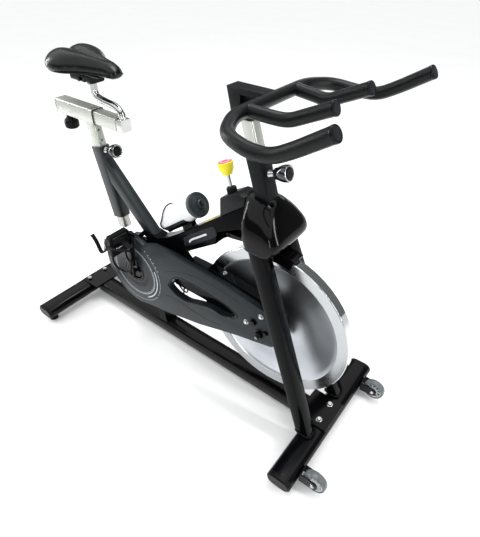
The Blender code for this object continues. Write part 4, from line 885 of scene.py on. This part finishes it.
def handlebar(dip, black, grey):
    """The bar and its horns as round tube, with a plug in each open end."""
    half = [at(*p) for p in ((-0.052, 0.060, 1.000), (-0.052, 0.140, 1.000), (-0.016, 0.208, 0.993),
                             (0.046, 0.222, 0.984), (0.096, 0.222, 0.986), (0.140, 0.222, 1.010),
                             (0.211, 0.221, 1.056))]
    left = rounded_path(half, 0.045, 8)
    right = mirrored(left)
    shapes = [swept(right + left, oval(0.0150, 0.0150, 24), (0.2, 0, 1))]
    ends = [(left[-1], left[-1] - left[-2]), (right[0], right[0] - right[1])]
    for sign in (-1, 1):
        horn = rounded_path([at(-0.048, sign * 0.092, 1.000), at(0.000, sign * 0.088, 0.997),
                             at(0.040, sign * 0.080, 0.995), at(0.137, sign * 0.0765, 1.041)], 0.04, 8)
        shapes.append(swept(horn, oval(0.0147, 0.0147, 24), (0.2, 0, 1)))
        ends.append((horn[-1], horn[-1] - horn[-2]))
    made = piece("handlebar_tube", *merged(*shapes), dip, "handlebar", 50)
    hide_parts("handlebar")
    for k, (point, way) in enumerate(ends):
        rim = turned([(0.0150, -0.0060), (0.0154, -0.0055), (0.0154, -0.0006), (0.0146, 0.0006), (0.0120, 0.0008),
                      (0.0112, 0.0002)], point, way, 40)
        piece(f"grip_rim_{k}", *rim, black, "handlebar")
        disc = turned([(0.0113, 0.0001), (0.0113, 0.0004), (0.0060, 0.0008), (0, 0.0009)], point, way, 32)
        piece(f"grip_plug_{k}", *disc, grey, "handlebar")


def head_cover(gloss):
    """The moulded cover where the legs meet the head, with full rounded shoulders."""
    levels = [(0.640, -0.068, 0.022, 0.0868), (0.662, -0.077, 0.038, 0.0868), (0.680, -0.082, 0.038, 0.0855),
              (0.697, -0.086, 0.030, 0.0815), (0.713, -0.090, 0.020, 0.0750), (0.729, -0.094, 0.010, 0.0660),
              (0.743, -0.098, 0.001, 0.0550), (0.754, -0.101, -0.009, 0.0430), (0.7605, -0.101, -0.020, 0.0300)]
    heights = curve_through([(z, half, 0) for z, rear, front, half in levels], 4)
    reaches = curve_through([(rear, front, 0) for z, rear, front, half in levels], 4)
    count = 64
    points, faces = [], []
    for (z, half, _), (rear, front, _) in zip(heights, reaches):
        power = 2 / (5.0 if z < 0.69 else max(2.6, 5.0 - (z - 0.69) * 45))
        for i in range(count):
            t = 2 * math.pi * i / count
            c, n = math.cos(t), math.sin(t)
            points.append(at((rear + front) / 2 + (front - rear) / 2 * math.copysign(abs(c) ** power, c),
                             half * math.copysign(abs(n) ** power, n), z))
    rings = len(heights)
    for k in range(rings - 1):
        faces += bands(count, k * count, (k + 1) * count)
    faces += [tuple(reversed(range(count))), tuple(range((rings - 1) * count, rings * count))]
    made = piece("head_cover", points, faces, gloss, "frame", 50)
    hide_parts("fork_shroud")


def details():
    black = finish("part_black", (0.002, 0.002, 0.0024), 0.26, coat=0.06, edge=(0.05, 0.05, 0.05), bump=0.05)
    bright = finish("plated", (0.52, 0.53, 0.53), 0.10, metal=1.0, spread=0.04, bump=0.02, rough_spread=0.4)
    steel = finish("buckle_steel", (0.20, 0.21, 0.22), 0.32, metal=1.0, spread=0.10, bump=0.05)
    soft = finish("strap_webbing", (0.006, 0.006, 0.0065), 0.60, grain=1400.0, bump=0.5, depth=0.0006)
    # The cap's rounded rib edges get a much lighter edge colour: a painted highlight on the ribs.
    cap = finish("cap_grey", (0.020, 0.029, 0.033), 0.34, bump=0.06, edge=(0.22, 0.26, 0.28), edge_radius=0.0009,
                 shine=0.35)
    white = finish("bottle_plastic", (0.84, 0.86, 0.87), 0.30, spread=0.03, bump=0.05)
    panel = finish("panel_grey", (0.012, 0.014, 0.017), 0.34, grain=900.0, bump=0.15)
    pale = finish("stripe_pale", (0.70, 0.72, 0.74), 0.40, spread=0.06)
    saddle()
    saddle_trim(black)
    transport_wheels(black, bright)
    pull_pins(black, bright)
    knobs(black)
    bottle_details(black, cap, white)
    guard_details(black, bright, steel)
    frame_bolts(bright)
    leg_welds(black)
    pedal_details(black, soft, steel)
    seat_trim(black)
    beam_panel(panel, pale)
    beam_label(black)
    handlebar(NODES["handlebar"].data.materials[0], black, panel)
    head_cover(NODES["fork_shroud"].data.materials[0])


camera()
studio()
floor()
paint_all()
details()
